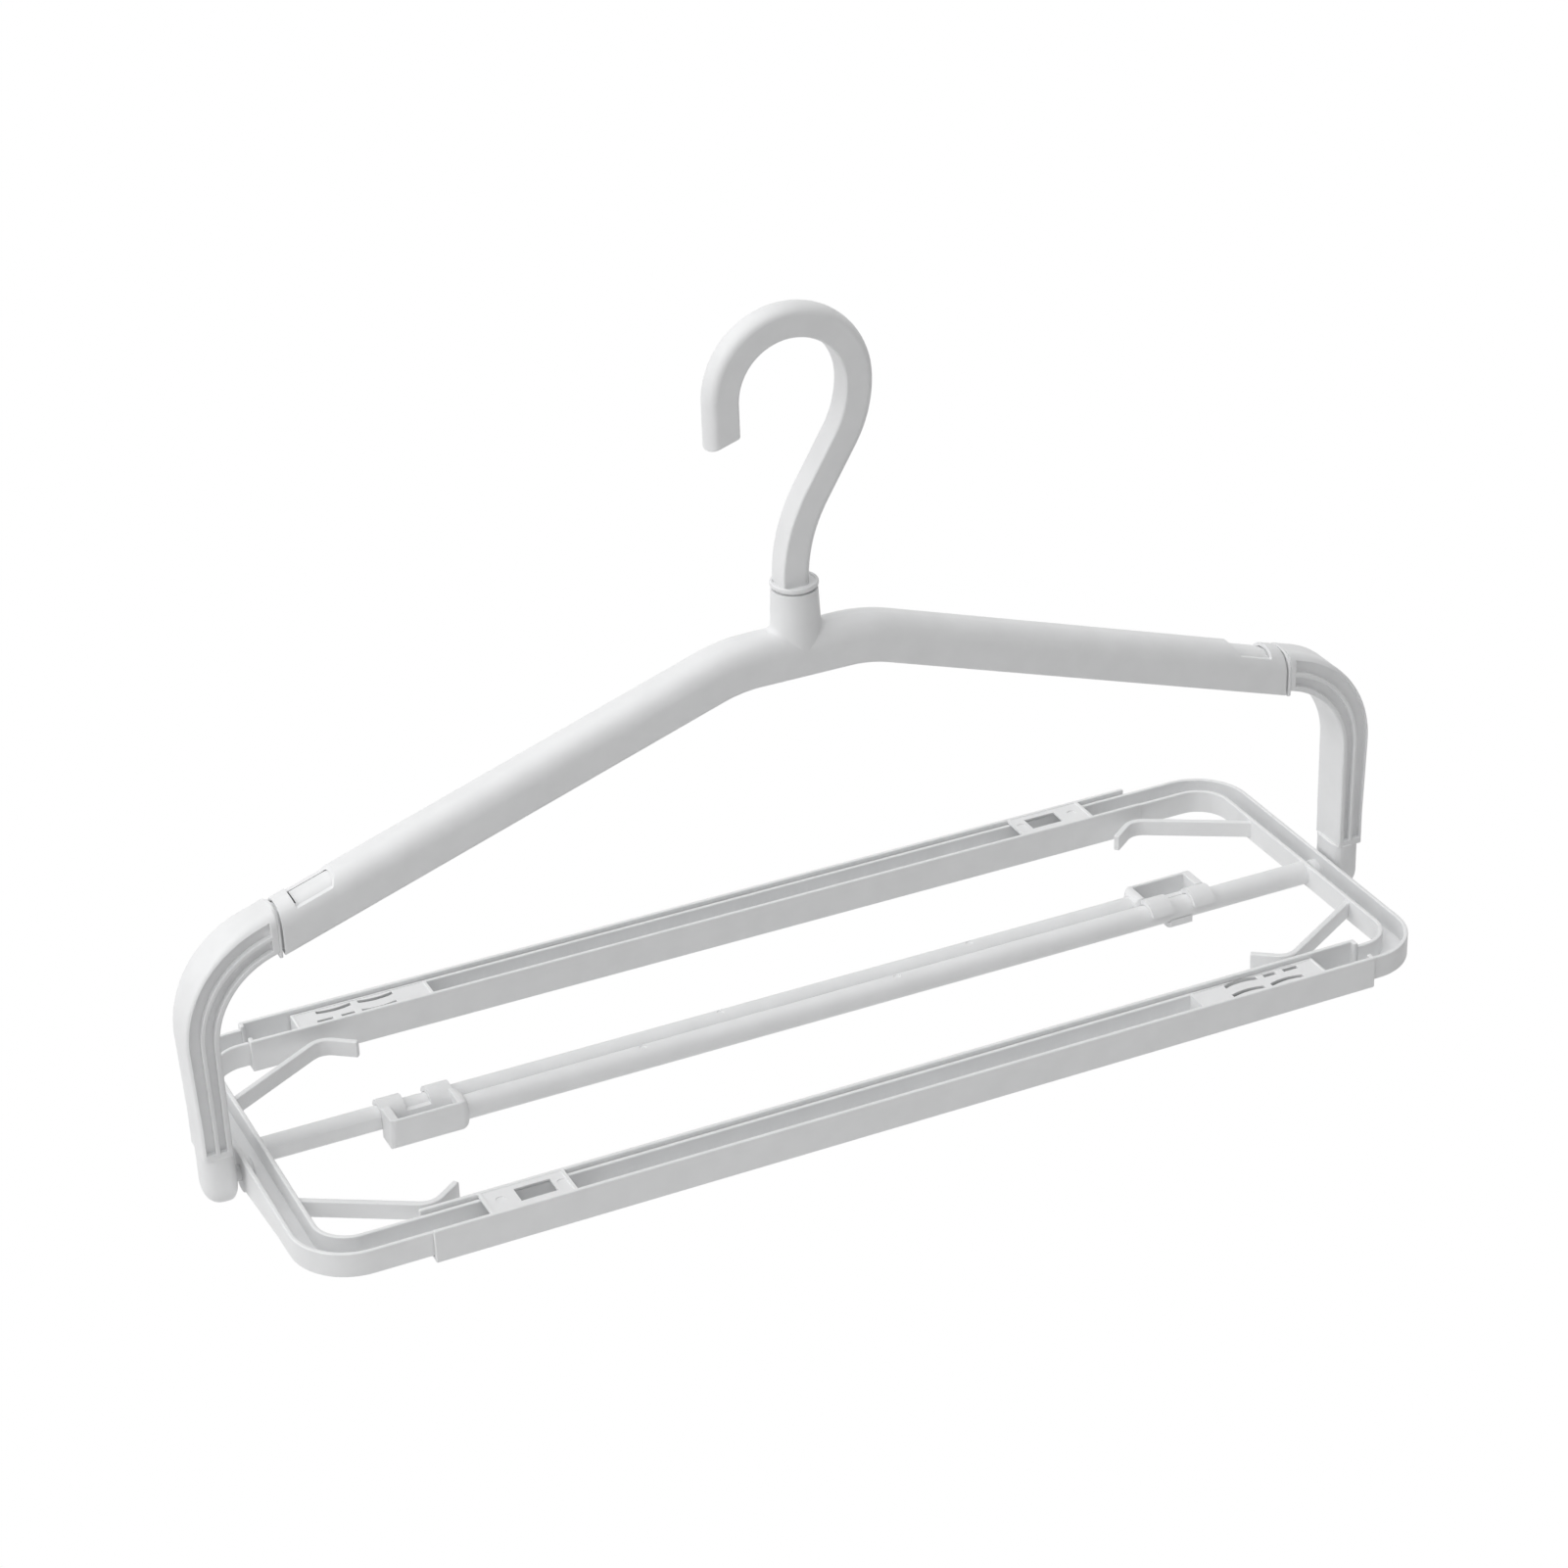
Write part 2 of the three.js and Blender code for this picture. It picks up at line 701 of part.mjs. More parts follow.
// End of the slim rail: a closed plate whose slits free two spring strips
function railTip(name) {
  const topZ = -bowTopDrop;
  const bottomZ = topZ - bowHeight;
  let body = box(tipStartX, tipEndX, -railOuter, -railInner, bottomZ, topZ)
    .subtract(box(
      tipStartX + bowWall, tipEndX - bowWall,
      -railOuter + bowWall, -railInner - bowWall,
      bottomZ - cutOverrun, topZ - tipPlate,
    ));
  const rows = [-railOuter + tipSlitEdge, -railInner - tipSlitEdge - tipSlitWidth];
  for (const y of rows) {
    for (let i = 0; i < 2; i++) {
      const end = tipEndX - tipSlitInset - i * tipSlitSpacing;
      const slit = box(
        end - tipSlitLength, end,
        y, y + tipSlitWidth,
        topZ - tipPlate - cutOverrun, topZ + cutOverrun,
      );
      body = body.subtract(slit);
    }
  }
  return mesh(name, body);
}

// Round bar with one flat side towards the mid-plane; side gives the half of the depth it lies in
function rodOutline(side, clearance) {
  const radius = rodRadius + clearance;
  const offset = rodFlatOffset + clearance;
  const half = Math.acos(offset / radius);
  const start = side > 0 ? Math.PI + half : half;
  return arc(
    side * rodCentreY,
    -rodAxisDrop,
    radius,
    start,
    start + 2 * (Math.PI - half),
    2 * bendSteps,
  );
}

function centreRod(name) {
  const rootX = bowShortWidth - frameHalfLength;
  return mesh(name, sidePrism(rodOutline(1, 0), rootX, clampStartX - clampFairing));
}

// Clamp on the rod's tip: an open box, two arches over the other half's rod and a lip below it
function rodClamp(name) {
  const low = -clampHeight;
  const farY = clampReach - clampEdgeRadius;
  const boxOutline = [
    new THREE.Vector2(-rodGap, 0),
    new THREE.Vector2(-rodGap, low),
    ...arc(farY, low + clampEdgeRadius, clampEdgeRadius, 1.5 * Math.PI, 2 * Math.PI, 3),
    new THREE.Vector2(clampReach, 0),
  ];
  const pocket = box(
    clampStartX + clampWall, clampEndX - clampEndWall,
    -rodGap - cutOverrun, clampReach - clampWall,
    -clampPocketDepth, cutOverrun,
  );
  const fairing = wasm.Manifold.hull([
    sidePrism(rodOutline(1, 0), clampStartX - clampFairing, clampStartX),
    sidePrism(boxOutline, clampStartX, clampStartX + clampWall),
  ]);
  const wrapRadius = rodRadius + slideClearance + clampWrapWall;
  const outline = arc(-rodCentreY, -rodAxisDrop, wrapRadius, 0, 2 * Math.PI, circleSteps);
  const wrap = sidePrism(outline.slice(1), clampStartX, clampEndX);
  const wrapOuterY = -rodCentreY - wrapRadius;
  const wrapLow = -rodAxisDrop - wrapRadius;
  const archEndX = clampStartX + clampArchLength;
  const archStartX = clampEndX - clampArchLength;
  const arches = [[clampStartX, archEndX], [archStartX, clampEndX]].map(([x0, x1]) => (
    box(x0, x1, wrapOuterY, wrapRadius, clampArchRise - rodAxisDrop, wrapRadius)
  ));
  const cradle = box(clampStartX, clampEndX, -rodGap, wrapRadius, wrapLow, -clampCradleDrop);
  const lip = box(
    archEndX, archStartX,
    -rodCentreY - clampLipReach, wrapRadius,
    wrapLow, -rodAxisDrop,
  );
  const holder = wrap.intersect(arches[0].add(arches[1]).add(cradle).add(lip));
  const bore = sidePrism(
    rodOutline(-1, slideClearance),
    clampStartX - clampFairing - cutOverrun,
    clampEndX + cutOverrun,
  );
  const body = sidePrism(boxOutline, clampStartX, clampEndX)
    .subtract(pocket)
    .add(fairing)
    .add(holder)
    .subtract(bore);
  return mesh(name, body);
}

// Bent strip that leans from the bow's short side towards the rail
function finger(name, side) {
  const rootX = bowShortWidth - frameHalfLength;
  const bendX = rootX + fingerSpan;
  const bendY = sleeveInner - fingerRailGap;
  const rootY = bendY - fingerRise;
  const path = new THREE.Path();
  const rootSlope = fingerRise / fingerSpan;
  path.moveTo(rootX - fingerThickness, rootY - fingerThickness * rootSlope);
  const before = new THREE.Vector2(-fingerSpan, -fingerRise).setLength(fingerBendRadius);
  const after = new THREE.Vector2(fingerTipSpan, -fingerTipFall).setLength(fingerBendRadius);
  path.lineTo(bendX + before.x, bendY + before.y);
  path.quadraticCurveTo(bendX, bendY, bendX + after.x, bendY + after.y);
  path.lineTo(bendX + fingerTipSpan, bendY - fingerTipFall);
  const points = path.getPoints(bendSteps);
  const left = [];
  const right = [];
  for (let i = 0; i < points.length; i++) {
    const before = points[Math.max(i - 1, 0)];
    const after = points[Math.min(i + 1, points.length - 1)];
    const across = after.clone().sub(before).normalize().multiplyScalar(fingerThickness / 2);
    left.push(new THREE.Vector2(points[i].x - across.y, side * (points[i].y + across.x)));
    right.push(new THREE.Vector2(points[i].x + across.y, side * (points[i].y - across.x)));
  }
  const shape = new THREE.Shape([...left, ...right.reverse()]);
  const strip = planPrism(shape, -fingerDrop - fingerHeight, -fingerDrop);
  const reach = box(rootX, 0, -frameHalfDepth, frameHalfDepth, -sleeveHeight, 0);
  return mesh(name, strip.intersect(reach));
}

function frameHalf(side, near, far) {
  const half = new THREE.Group();
  half.add(
    bow(`${side}_bow`),
    sleeve(`${side}_sleeve_rail`),
    railTip(`${side}_rail_tip`),
    centreRod(`${side}_centre_rod`),
    rodClamp(`${side}_rod_clamp`),
    finger(`${side}_${near}_finger`, -1),
    finger(`${side}_${far}_finger`, 1),
  );
  return half;
}

const hanger = new THREE.Group();
hanger.add(hook(), beam());

const rightArm = new THREE.Group();
rightArm.add(arm("right_arm"), pivotPin("right_pivot_pin"));
const leftArm = new THREE.Group();
leftArm.add(arm("left_arm"), pivotPin("left_pivot_pin"));
leftArm.rotation.z = Math.PI;
hanger.add(leftArm, rightArm);

const leftHalf = frameHalf("left", "near", "far");
const rightHalf = frameHalf("right", "far", "near");
rightHalf.rotation.z = Math.PI;
const frame = new THREE.Group();
frame.position.z = frameTopZ;
frame.add(leftHalf, rightHalf);
hanger.add(frame);

export default hanger;
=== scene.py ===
"""Telescoping coat hanger: finely moulded pieces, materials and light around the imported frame."""
import json
import math

import bmesh
import bpy
from mathutils import Matrix, Vector


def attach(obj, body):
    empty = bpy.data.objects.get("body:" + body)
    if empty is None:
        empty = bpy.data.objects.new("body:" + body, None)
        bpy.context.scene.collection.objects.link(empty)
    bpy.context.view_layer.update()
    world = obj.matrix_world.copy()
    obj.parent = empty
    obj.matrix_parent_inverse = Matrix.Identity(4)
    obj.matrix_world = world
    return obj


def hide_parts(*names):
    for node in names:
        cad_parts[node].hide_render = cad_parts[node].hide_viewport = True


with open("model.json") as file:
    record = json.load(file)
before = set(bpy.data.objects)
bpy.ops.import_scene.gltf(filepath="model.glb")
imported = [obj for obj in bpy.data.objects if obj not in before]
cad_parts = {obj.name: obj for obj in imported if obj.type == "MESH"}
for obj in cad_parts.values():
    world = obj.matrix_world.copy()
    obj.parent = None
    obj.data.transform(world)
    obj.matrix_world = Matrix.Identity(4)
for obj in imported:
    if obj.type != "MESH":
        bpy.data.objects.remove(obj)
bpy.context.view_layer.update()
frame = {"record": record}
scene = bpy.context.scene

# Sizes of the pieces are in millimetres, and the assembly takes them to metres
MILLIMETRE = 0.001
QUARTER = math.pi / 2

# Tools and finish of the moulded edges
CUT_OVERRUN = 1
EDGE = 0.55
FINE_EDGE = 0.35
EDGE_STEPS = 3
SMOOTH_ANGLE = math.radians(35)
SHARP_ANGLE = math.radians(28)
FLAT_ANGLE = math.radians(0.3)
WELD = 0.01
AXIS_RADIUS = 0.01
CORNER_STEPS = 4
BEND_STEPS = 18
CIRCLE_STEPS = 96
MARK_STEPS = 32

# Hook
HOOK_INNER_RADIUS = 21.3
HOOK_LEG_LENGTH = 13.1
HOOK_TIP_SLANT = 3.9
HOOK_SHOULDER_RADIUS = 38
HOOK_LEAN = math.radians(31.5)
HOOK_LEAN_LENGTH = 23.3
HOOK_NECK_RADIUS = 70
HOOK_FLAT_WIDTH = 8.5
HOOK_THICKNESS = 12.2
HOOK_DEPTH = 11
HOOK_EDGE_RADIUS = 0.9
HOOK_TIP_ROUNDING = 0.8
FLANGE_RADIUS = 9.25
FLANGE_THICKNESS = 2.6
FLANGE_RIM_HEIGHT = 1.9
FLANGE_LIP_WIDTH = 1.1
FLANGE_LIP_RISE = 0.5
FLANGE_FOOT_RADIUS = 8.2
STEM_RADIUS = 4.5
HEAD_RADIUS = 6.2
HEAD_THICKNESS = 3.5
SWIVEL_CLEARANCE = 0.4

# Beam
BEAM_DEPTH = 18
BEAM_HEIGHT = 18
BEAM_WALL = 1.5
BEAM_TOP_RADIUS = 8
BEAM_BOTTOM_RADIUS = 1.2
BEAM_HALF_LENGTH = 211.5
BEAM_FLAT_HALF_LENGTH = 26.5
BEAM_SLOPE = math.radians(18.3)
BEAM_BEND_RADIUS = 50
COLLAR_HEIGHT = 15.8
COLLAR_TOP_RADIUS = 9
COLLAR_FOOT_RADIUS = 9.7
COLLAR_EDGE_SHARE = 0.3
COLLAR_SINK = 5
COLLAR_FILLET_RADIUS = 2.4
FILLET_STEPS = 10
FILLET_REACH = 1.4
FILLET_SAMPLES = 90
FILLET_HALVINGS = 40
LEAST_SINE = 0.01
WINDOW_LENGTH = 18.5
WINDOW_END_DISTANCE = 5.5
WINDOW_DEPTH = 3.4
WINDOW_RAMP = 3.5

# Arms
SLIDE_LENGTH = 168
SLIDE_WALL = 2
SLIDE_CLEARANCE = 0.35
SLOT_LENGTH = 0.45
SLOT_WIDTH = 9
FLANGE_GAP = 2
ARM_FLANGE_THICKNESS = 1.2
ARM_ELBOW_LEAD = 2.6
ARM_ELBOW_RADIUS = 34
ARM_BOTTOM_INSET = 2.3
ARM_FLANGE_END_THICKNESS = 15.2
ARM_ELBOW_THICKNESS = 12.6
ARM_FOOT_THICKNESS = 11.4
ARM_FOOT_LENGTH = 27.5
ARM_DEPTH = 18
ARM_DROP = 60.4
ARM_PLAIN_LENGTH = 2.4
ARM_OUTER_RIM = 1.3
ARM_INNER_RIM = 2.3
ARM_RIB_WIDTH = 1.8
ARM_RECESS_DEPTH = 2.3
ARM_RECESS_END_HEIGHT = 16.5
ARM_FLANGE_ROUNDING = 5
ARM_OUTER_ROUNDING = 1.7
ARM_INNER_ROUNDING = 0.9
ARM_ROUNDING_SHARE = 0.55
ARM_RIM_GROWTH = 0.25
BOSS_REACH = 1.2
BOSS_HEIGHT = 14.5
BOSS_ROUNDING = 6.4
BOSS_INNER_ROUNDING = 3.8
BOSS_PROUD = 0.3

# Pivot pins
PIN_RADIUS = 3
PIN_HEAD_RADIUS = 4.4
PIN_HEAD_THICKNESS = 2.2
PIN_DEPTH = 8.5
PIVOT_CLEARANCE = 0.2

# Frame halves, made with the bow at -X, the sleeve at +Y and z = 0 at the frame's top
FRAME_TOP_HEIGHT = 10.5
FRAME_SIDE_GAP = 2.2
FRAME_HALF_DEPTH = 85
BOW_TOP_DROP = 1.6
BOW_HEIGHT = 10.1
BOW_WALL = 1.8
BOW_FLOOR = 1.6
BOW_SHORT_WIDTH = 11
BOW_OUTER_RADIUS = 24
BOW_INNER_RADIUS = 13
BOW_EAR_RADIUS = 7.8
BOW_EAR_TAPER = 38
BOW_LIP = 0.55
BUMP_WALL = 0.6
BUMP_ROUNDING = 1
BUMP_STEPS = 6

SLEEVE_WIDTH = 16.7
SLEEVE_HEIGHT = 13.7
SLEEVE_WALL = 1.8
SLEEVE_FLOOR = 1.4
SLEEVE_END_INSET = 27.7
SLEEVE_FREE_INSET = 46.5
BRIDGE_INSET = 22.5
BRIDGE_LENGTH = 33.9
BRIDGE_THICKNESS = 1.2
BRIDGE_RIB = 1.3
BRIDGE_SINK = 0.35
BRIDGE_WINDOW_INSET = 13
BRIDGE_WINDOW_LENGTH = 14.2
BRIDGE_WINDOW_WIDTH = 8.2
BRIDGE_MARK_RADIUS = 2
TIP_INSET = 48.3
TIP_LENGTH = 56.7
TIP_PLATE = 1.4
TIP_SINK = 0.3
TIP_RIM = 1.2
SLIT_WIDTH = 1.9
SLIT_STEPS = 8
SLIT_BOW = 1.1
# Each slit as its start and end before the tip's end, and its bow
INNER_SLITS = ((41.5, 27, SLIT_BOW), (24, 18.5, 0), (15, 8.5, 0))
OUTER_SLITS = ((42, 27.5, SLIT_BOW), (24.5, 10, SLIT_BOW))

ROD_RADIUS = 4.8
ROD_FLAT_OFFSET = 4.1
ROD_FLAT_ROUNDING = 0.3
ROD_MARK_PLACES = (-36.5, 73.5)
ROD_MARK_RADIUS = 1.5
MARK_DEPTH = 0.3
ROD_GAP = 0.8
ROD_AXIS_DROP = 6.5
CLAMP_LENGTH = 29
CLAMP_INSET = 57
CLAMP_REACH = 10.6
CLAMP_HEIGHT = 13.3
CLAMP_WALL = 1.6
CLAMP_EDGE_RADIUS = 3
CLAMP_CORNER_RADIUS = 2.4
CLAMP_CLEARANCE = 0.2
CLAMP_POCKET_DEPTH = 8.5
CLAMP_WRAP_WALL = 1.9
CLAMP_ARCH_LENGTH = 9.5
CLAMP_CRADLE_DROP = 3
CLAMP_LIP_REACH = 4.5
CLAMP_END_WALL = 3.6
CLAMP_ARCH_RISE = 2.2
CLAMP_SHOULDER = 3.4
CLAMP_FAIRING = 5
FAIRING_INSET = 0.01
FAIRING_STEPS = 12
PARALLEL_LIMIT = 1e-6
SHARE_SLACK = 1e-4

FINGER_THICKNESS = 2.6
FINGER_HEIGHT = 7
FINGER_DROP = 3
FINGER_RAIL_GAP = 4.8
FINGER_SPAN = 43
FINGER_RISE = 25.5
FINGER_TIP_SPAN = 12.5
FINGER_TIP_FALL = 9.5
FINGER_BEND_RADIUS = 6
FINGER_STEPS = 12

# Heights and places that follow from the sizes above
SLOPE_SINE = math.sin(BEAM_SLOPE)
SLOPE_COSINE = math.cos(BEAM_SLOPE)
SLOPE_TANGENT = math.tan(BEAM_SLOPE)
hook_centre_z = -HOOK_INNER_RADIUS
neck_drop = (HOOK_SHOULDER_RADIUS + HOOK_NECK_RADIUS) * math.sin(HOOK_LEAN)
neck_drop += HOOK_LEAN_LENGTH * math.cos(HOOK_LEAN)
flange_top_z = hook_centre_z - neck_drop
collar_top_z = flange_top_z - FLANGE_THICKNESS - SWIVEL_CLEARANCE
beam_top_z = collar_top_z - COLLAR_HEIGHT
beam_bottom_z = beam_top_z - BEAM_HEIGHT
flange_x = BEAM_HALF_LENGTH + FLANGE_GAP
elbow_x = flange_x + ARM_ELBOW_LEAD - ARM_ELBOW_RADIUS * SLOPE_SINE
arm_inner_x = elbow_x + ARM_ELBOW_RADIUS
elbow_z = beam_bottom_z - (elbow_x - BEAM_FLAT_HALF_LENGTH) * SLOPE_TANGENT
elbow_z += (ARM_BOTTOM_INSET - ARM_ELBOW_RADIUS) / SLOPE_COSINE
pivot_z = elbow_z - ARM_DROP
frame_top_z = pivot_z + FRAME_TOP_HEIGHT
boss_x = arm_inner_x - BOSS_REACH
frame_half_length = boss_x - FRAME_SIDE_GAP
rail_outer = FRAME_HALF_DEPTH - SLEEVE_WALL - SLIDE_CLEARANCE
rail_inner = FRAME_HALF_DEPTH - SLEEVE_WIDTH + SLEEVE_WALL + SLIDE_CLEARANCE
sleeve_inner = FRAME_HALF_DEPTH - SLEEVE_WIDTH
sleeve_free_x = frame_half_length - SLEEVE_FREE_INSET
tip_end_x = frame_half_length - TIP_INSET
tip_start_x = tip_end_x - TIP_LENGTH
clamp_end_x = frame_half_length - CLAMP_INSET
clamp_start_x = clamp_end_x - CLAMP_LENGTH
rod_centre_y = ROD_GAP / 2 + ROD_FLAT_OFFSET
bow_top_z = -BOW_TOP_DROP
bow_bottom_z = bow_top_z - BOW_HEIGHT


# Mesh tools, in millimetres

def plan(u, v, w):
    """Outline seen from above, with its level along Z."""
    return u, v, w


def front(u, v, w):
    """Outline seen from the front, with its level along Y."""
    return u, w, v


def side(u, v, w):
    """Outline seen from the side, with its level along X."""
    return w, u, v


def skin(rings):
    """Closed skin over rings of equal point count, capped at both ends."""
    work = bmesh.new()
    loops = [[work.verts.new(point) for point in ring] for ring in rings]
    count = len(rings[0])
    for lower, upper in zip(loops, loops[1:]):
        for i in range(count):
            j = (i + 1) % count
            work.faces.new((lower[i], lower[j], upper[j], upper[i]))
    work.faces.new(loops[0])
    work.faces.new(loops[-1])
    bmesh.ops.recalc_face_normals(work, faces=work.faces)
    mesh = bpy.data.meshes.new("skin")
    work.to_mesh(mesh)
    work.free()
    obj = bpy.data.objects.new("skin", mesh)
    scene.collection.objects.link(obj)
    return obj


def prism(points, low, high, axes):
    """Outline drawn out between two levels."""
    return skin([[axes(u, v, level) for u, v in points] for level in (low, high)])


def box(x0, x1, y0, y1, z0, z1):
    """Box between the given limits."""
    return prism([(x0, y0), (x1, y0), (x1, y1), (x0, y1)], z0, z1, plan)


def arc(cx, cy, radius, start, end, steps=BEND_STEPS):
    """Points round a centre, from one turn to another."""
    turns = [start + (end - start) * i / steps for i in range(steps + 1)]
    return [(cx + radius * math.cos(turn), cy + radius * math.sin(turn)) for turn in turns]


def lathe(profile, axes, cx=0.0, cy=0.0, steps=CIRCLE_STEPS):
    """Turns (radius, level) points round the level axis of the given axes."""
    rings = []
    for radius, level in profile:
        ring = arc(cx, cy, radius, 0, math.tau * (steps - 1) / steps, steps - 1)
        rings.append([axes(u, v, level) for u, v in ring])
    return skin(rings)


def combine(body, tool, operation):
    """Changes the body's mesh by a solid tool, and removes the tool."""
    change = body.modifiers.new("combine", "BOOLEAN")
    change.operation = operation
    change.solver = "MANIFOLD"
    change.object = tool
    graph = bpy.context.evaluated_depsgraph_get()
    mesh = bpy.data.meshes.new_from_object(body.evaluated_get(graph), depsgraph=graph)
    body.modifiers.clear()
    body.data = mesh
    bpy.data.objects.remove(tool)
    return body


def join(body, *tools):
    """Adds solid tools to the body."""
    for tool in tools:
        combine(body, tool, "UNION")
    return body


def cut(body, *tools):
    """Takes solid tools out of the body."""
    for tool in tools:
        combine(body, tool, "DIFFERENCE")
    return body


def keep(body, tool):
    """Keeps what lies inside a solid tool."""
    return combine(body, tool, "INTERSECT")


def clean(obj):
    """Welds close points, and dissolves flat edges and points without faces."""
    work = bmesh.new()
    work.from_mesh(obj.data)
    bmesh.ops.remove_doubles(work, verts=work.verts, dist=WELD)
    bmesh.ops.dissolve_limit(work, angle_limit=FLAT_ANGLE, verts=work.verts, edges=work.edges)
    bmesh.ops.delete(work, geom=[v for v in work.verts if not v.link_faces], context="VERTS")
    work.to_mesh(obj.data)
    work.free()
    return obj


def round_edges(obj, width, where=None):
    """Rounds the sharp edges whose middle passes the test."""
    clean(obj)
    work = bmesh.new()
    work.from_mesh(obj.data)
    sharp = []
    for edge in work.edges:
        if len(edge.link_faces) != 2 or edge.calc_face_angle() < SHARP_ANGLE:
            continue
        middle = (edge.verts[0].co + edge.verts[1].co) / 2
        if where is None or where(middle):
            sharp.append(edge)
    bmesh.ops.bevel(
        work,
        geom=sharp,
        offset=width,
        offset_type="OFFSET",
        segments=EDGE_STEPS,
        profile=0.5,
        affect="EDGES",
        clamp_overlap=False,
        miter_outer="SHARP",
        miter_inner="SHARP",
    )
    work.to_mesh(obj.data)
    work.free()
    return obj


def arch_section(width, height, base, top_radius, bottom_radius):
    """Flat bottom and nearly half-round top, as (across, up) points."""
    half = width / 2
    top = base + height - top_radius
    low = base + bottom_radius
    return [
        *arc(-half + bottom_radius, low, bottom_radius, 2 * QUARTER, 3 * QUARTER, CORNER_STEPS),
        *arc(half - bottom_radius, low, bottom_radius, 3 * QUARTER, 4 * QUARTER, CORNER_STEPS),
        *arc(half - top_radius, top, top_radius, 0, QUARTER),
        *arc(-half + top_radius, top, top_radius, QUARTER, 2 * QUARTER)[1:],
    ]


# Hook

def hook_section():
    """Flat inner side with small corners, and a domed outer side, as (out, across) points."""
    half = HOOK_DEPTH / 2
    bulge = HOOK_THICKNESS - HOOK_FLAT_WIDTH
    edge = HOOK_EDGE_RADIUS
    points = [
        (HOOK_FLAT_WIDTH + bulge * u, half * v)
        for u, v in arc(0, 0, 1, -QUARTER, QUARTER)
    ]
    points += arc(edge, half - edge, edge, QUARTER, 2 * QUARTER, CORNER_STEPS)
    points += arc(edge, edge - half, edge, 2 * QUARTER, 3 * QUARTER, CORNER_STEPS)
    return points


def hook_stations():
    """Places along the inner line, each with the direction away from the pole."""
    stations = [(-HOOK_INNER_RADIUS, hook_centre_z - HOOK_LEG_LENGTH, math.pi)]
    for i in range(3 * BEND_STEPS + 1):
        angle = math.pi * (1 - i / (3 * BEND_STEPS))
        x = HOOK_INNER_RADIUS * math.cos(angle)
        z = hook_centre_z + HOOK_INNER_RADIUS * math.sin(angle)
        stations.append((x, z, angle))
    shoulder_x = HOOK_INNER_RADIUS - HOOK_SHOULDER_RADIUS
    for i in range(1, BEND_STEPS + 1):
        angle = -HOOK_LEAN * i / BEND_STEPS
        x = shoulder_x + HOOK_SHOULDER_RADIUS * math.cos(angle)
        z = hook_centre_z + HOOK_SHOULDER_RADIUS * math.sin(angle)
        stations.append((x, z, angle))
    lean_x, lean_z, _ = stations[-1]
    sine, cosine = math.sin(HOOK_LEAN), math.cos(HOOK_LEAN)
    neck_x = lean_x - HOOK_LEAN_LENGTH * sine + HOOK_NECK_RADIUS * cosine
    neck_z = lean_z - HOOK_LEAN_LENGTH * cosine - HOOK_NECK_RADIUS * sine
    for i in range(BEND_STEPS + 1):
        angle = -HOOK_LEAN * (1 - i / BEND_STEPS)
        x = neck_x - HOOK_NECK_RADIUS * math.cos(angle)
        z = neck_z - HOOK_NECK_RADIUS * math.sin(angle)
        stations.append((x, z, angle))
    foot_x, foot_z, angle = stations[-1]
    stations.append((foot_x, foot_z - FLANGE_THICKNESS / 2, angle))
    return stations


def hook():
    """Hook with its flange, and the stem and head inside the beam."""
    section = hook_section()
    rings = []
    for i, (x, z, angle) in enumerate(hook_stations()):
        slant = HOOK_TIP_SLANT / HOOK_THICKNESS if i == 0 else 0
        rings.append([
            (x + out * math.cos(angle), -across, z + out * math.sin(angle) - slant * out)
            for out, across in section
        ])
    body = skin(rings)
    tip_z = hook_centre_z - HOOK_LEG_LENGTH - HOOK_TIP_SLANT - CUT_OVERRUN
    leg_z = hook_centre_z - HOOK_LEG_LENGTH / 2
    round_edges(body, HOOK_TIP_ROUNDING, lambda m: tip_z < m.z < leg_z and m.x < 0)
    rim_bottom = flange_top_z - FLANGE_RIM_HEIGHT
    flange_bottom = flange_top_z - FLANGE_THICKNESS
    lip = FLANGE_LIP_WIDTH / 2
    head_top = beam_top_z - BEAM_WALL - 2 * SWIVEL_CLEARANCE
    head_bottom = head_top - HEAD_THICKNESS
    dish_z = flange_top_z - FLANGE_LIP_RISE - lip / 2
    profile = [
        (AXIS_RADIUS, head_bottom),
        (HEAD_RADIUS, head_bottom),
        (HEAD_RADIUS, head_top),
        (STEM_RADIUS, head_top),
        (STEM_RADIUS, flange_bottom),
        (FLANGE_FOOT_RADIUS, flange_bottom),
        (FLANGE_FOOT_RADIUS, rim_bottom - EDGE),
        *arc(FLANGE_RADIUS - EDGE, rim_bottom + EDGE, EDGE, -QUARTER, 0, CORNER_STEPS),
        *arc(FLANGE_RADIUS - lip, flange_top_z - lip, lip, 0, 2 * QUARTER, 2 * CORNER_STEPS),
        (FLANGE_RADIUS - FLANGE_LIP_WIDTH, dish_z),
        (AXIS_RADIUS, dish_z),
    ]
    return join(body, lathe(profile, plan))


# Beam

def underside(x):
    """Height of the slope's underside at a distance from the middle."""
    return beam_bottom_z - (x - BEAM_FLAT_HALF_LENGTH) * SLOPE_TANGENT


def beam_stations(over):
    """Places along the underside with their turns, reaching past the beam's ends."""
    bend_x = BEAM_FLAT_HALF_LENGTH - BEAM_BEND_RADIUS * math.tan(BEAM_SLOPE / 2)
    right = []
    for i in range(BEND_STEPS + 1):
        angle = BEAM_SLOPE * i / BEND_STEPS
        x = bend_x + BEAM_BEND_RADIUS * math.sin(angle)
        z = beam_bottom_z - BEAM_BEND_RADIUS * (1 - math.cos(angle))
        right.append((x, z, angle))
    end_x = BEAM_HALF_LENGTH + BEAM_HEIGHT + over
    right.append((end_x, underside(end_x), BEAM_SLOPE))
    left = [(-x, z, -angle) for x, z, angle in reversed(right)]
    return left + right


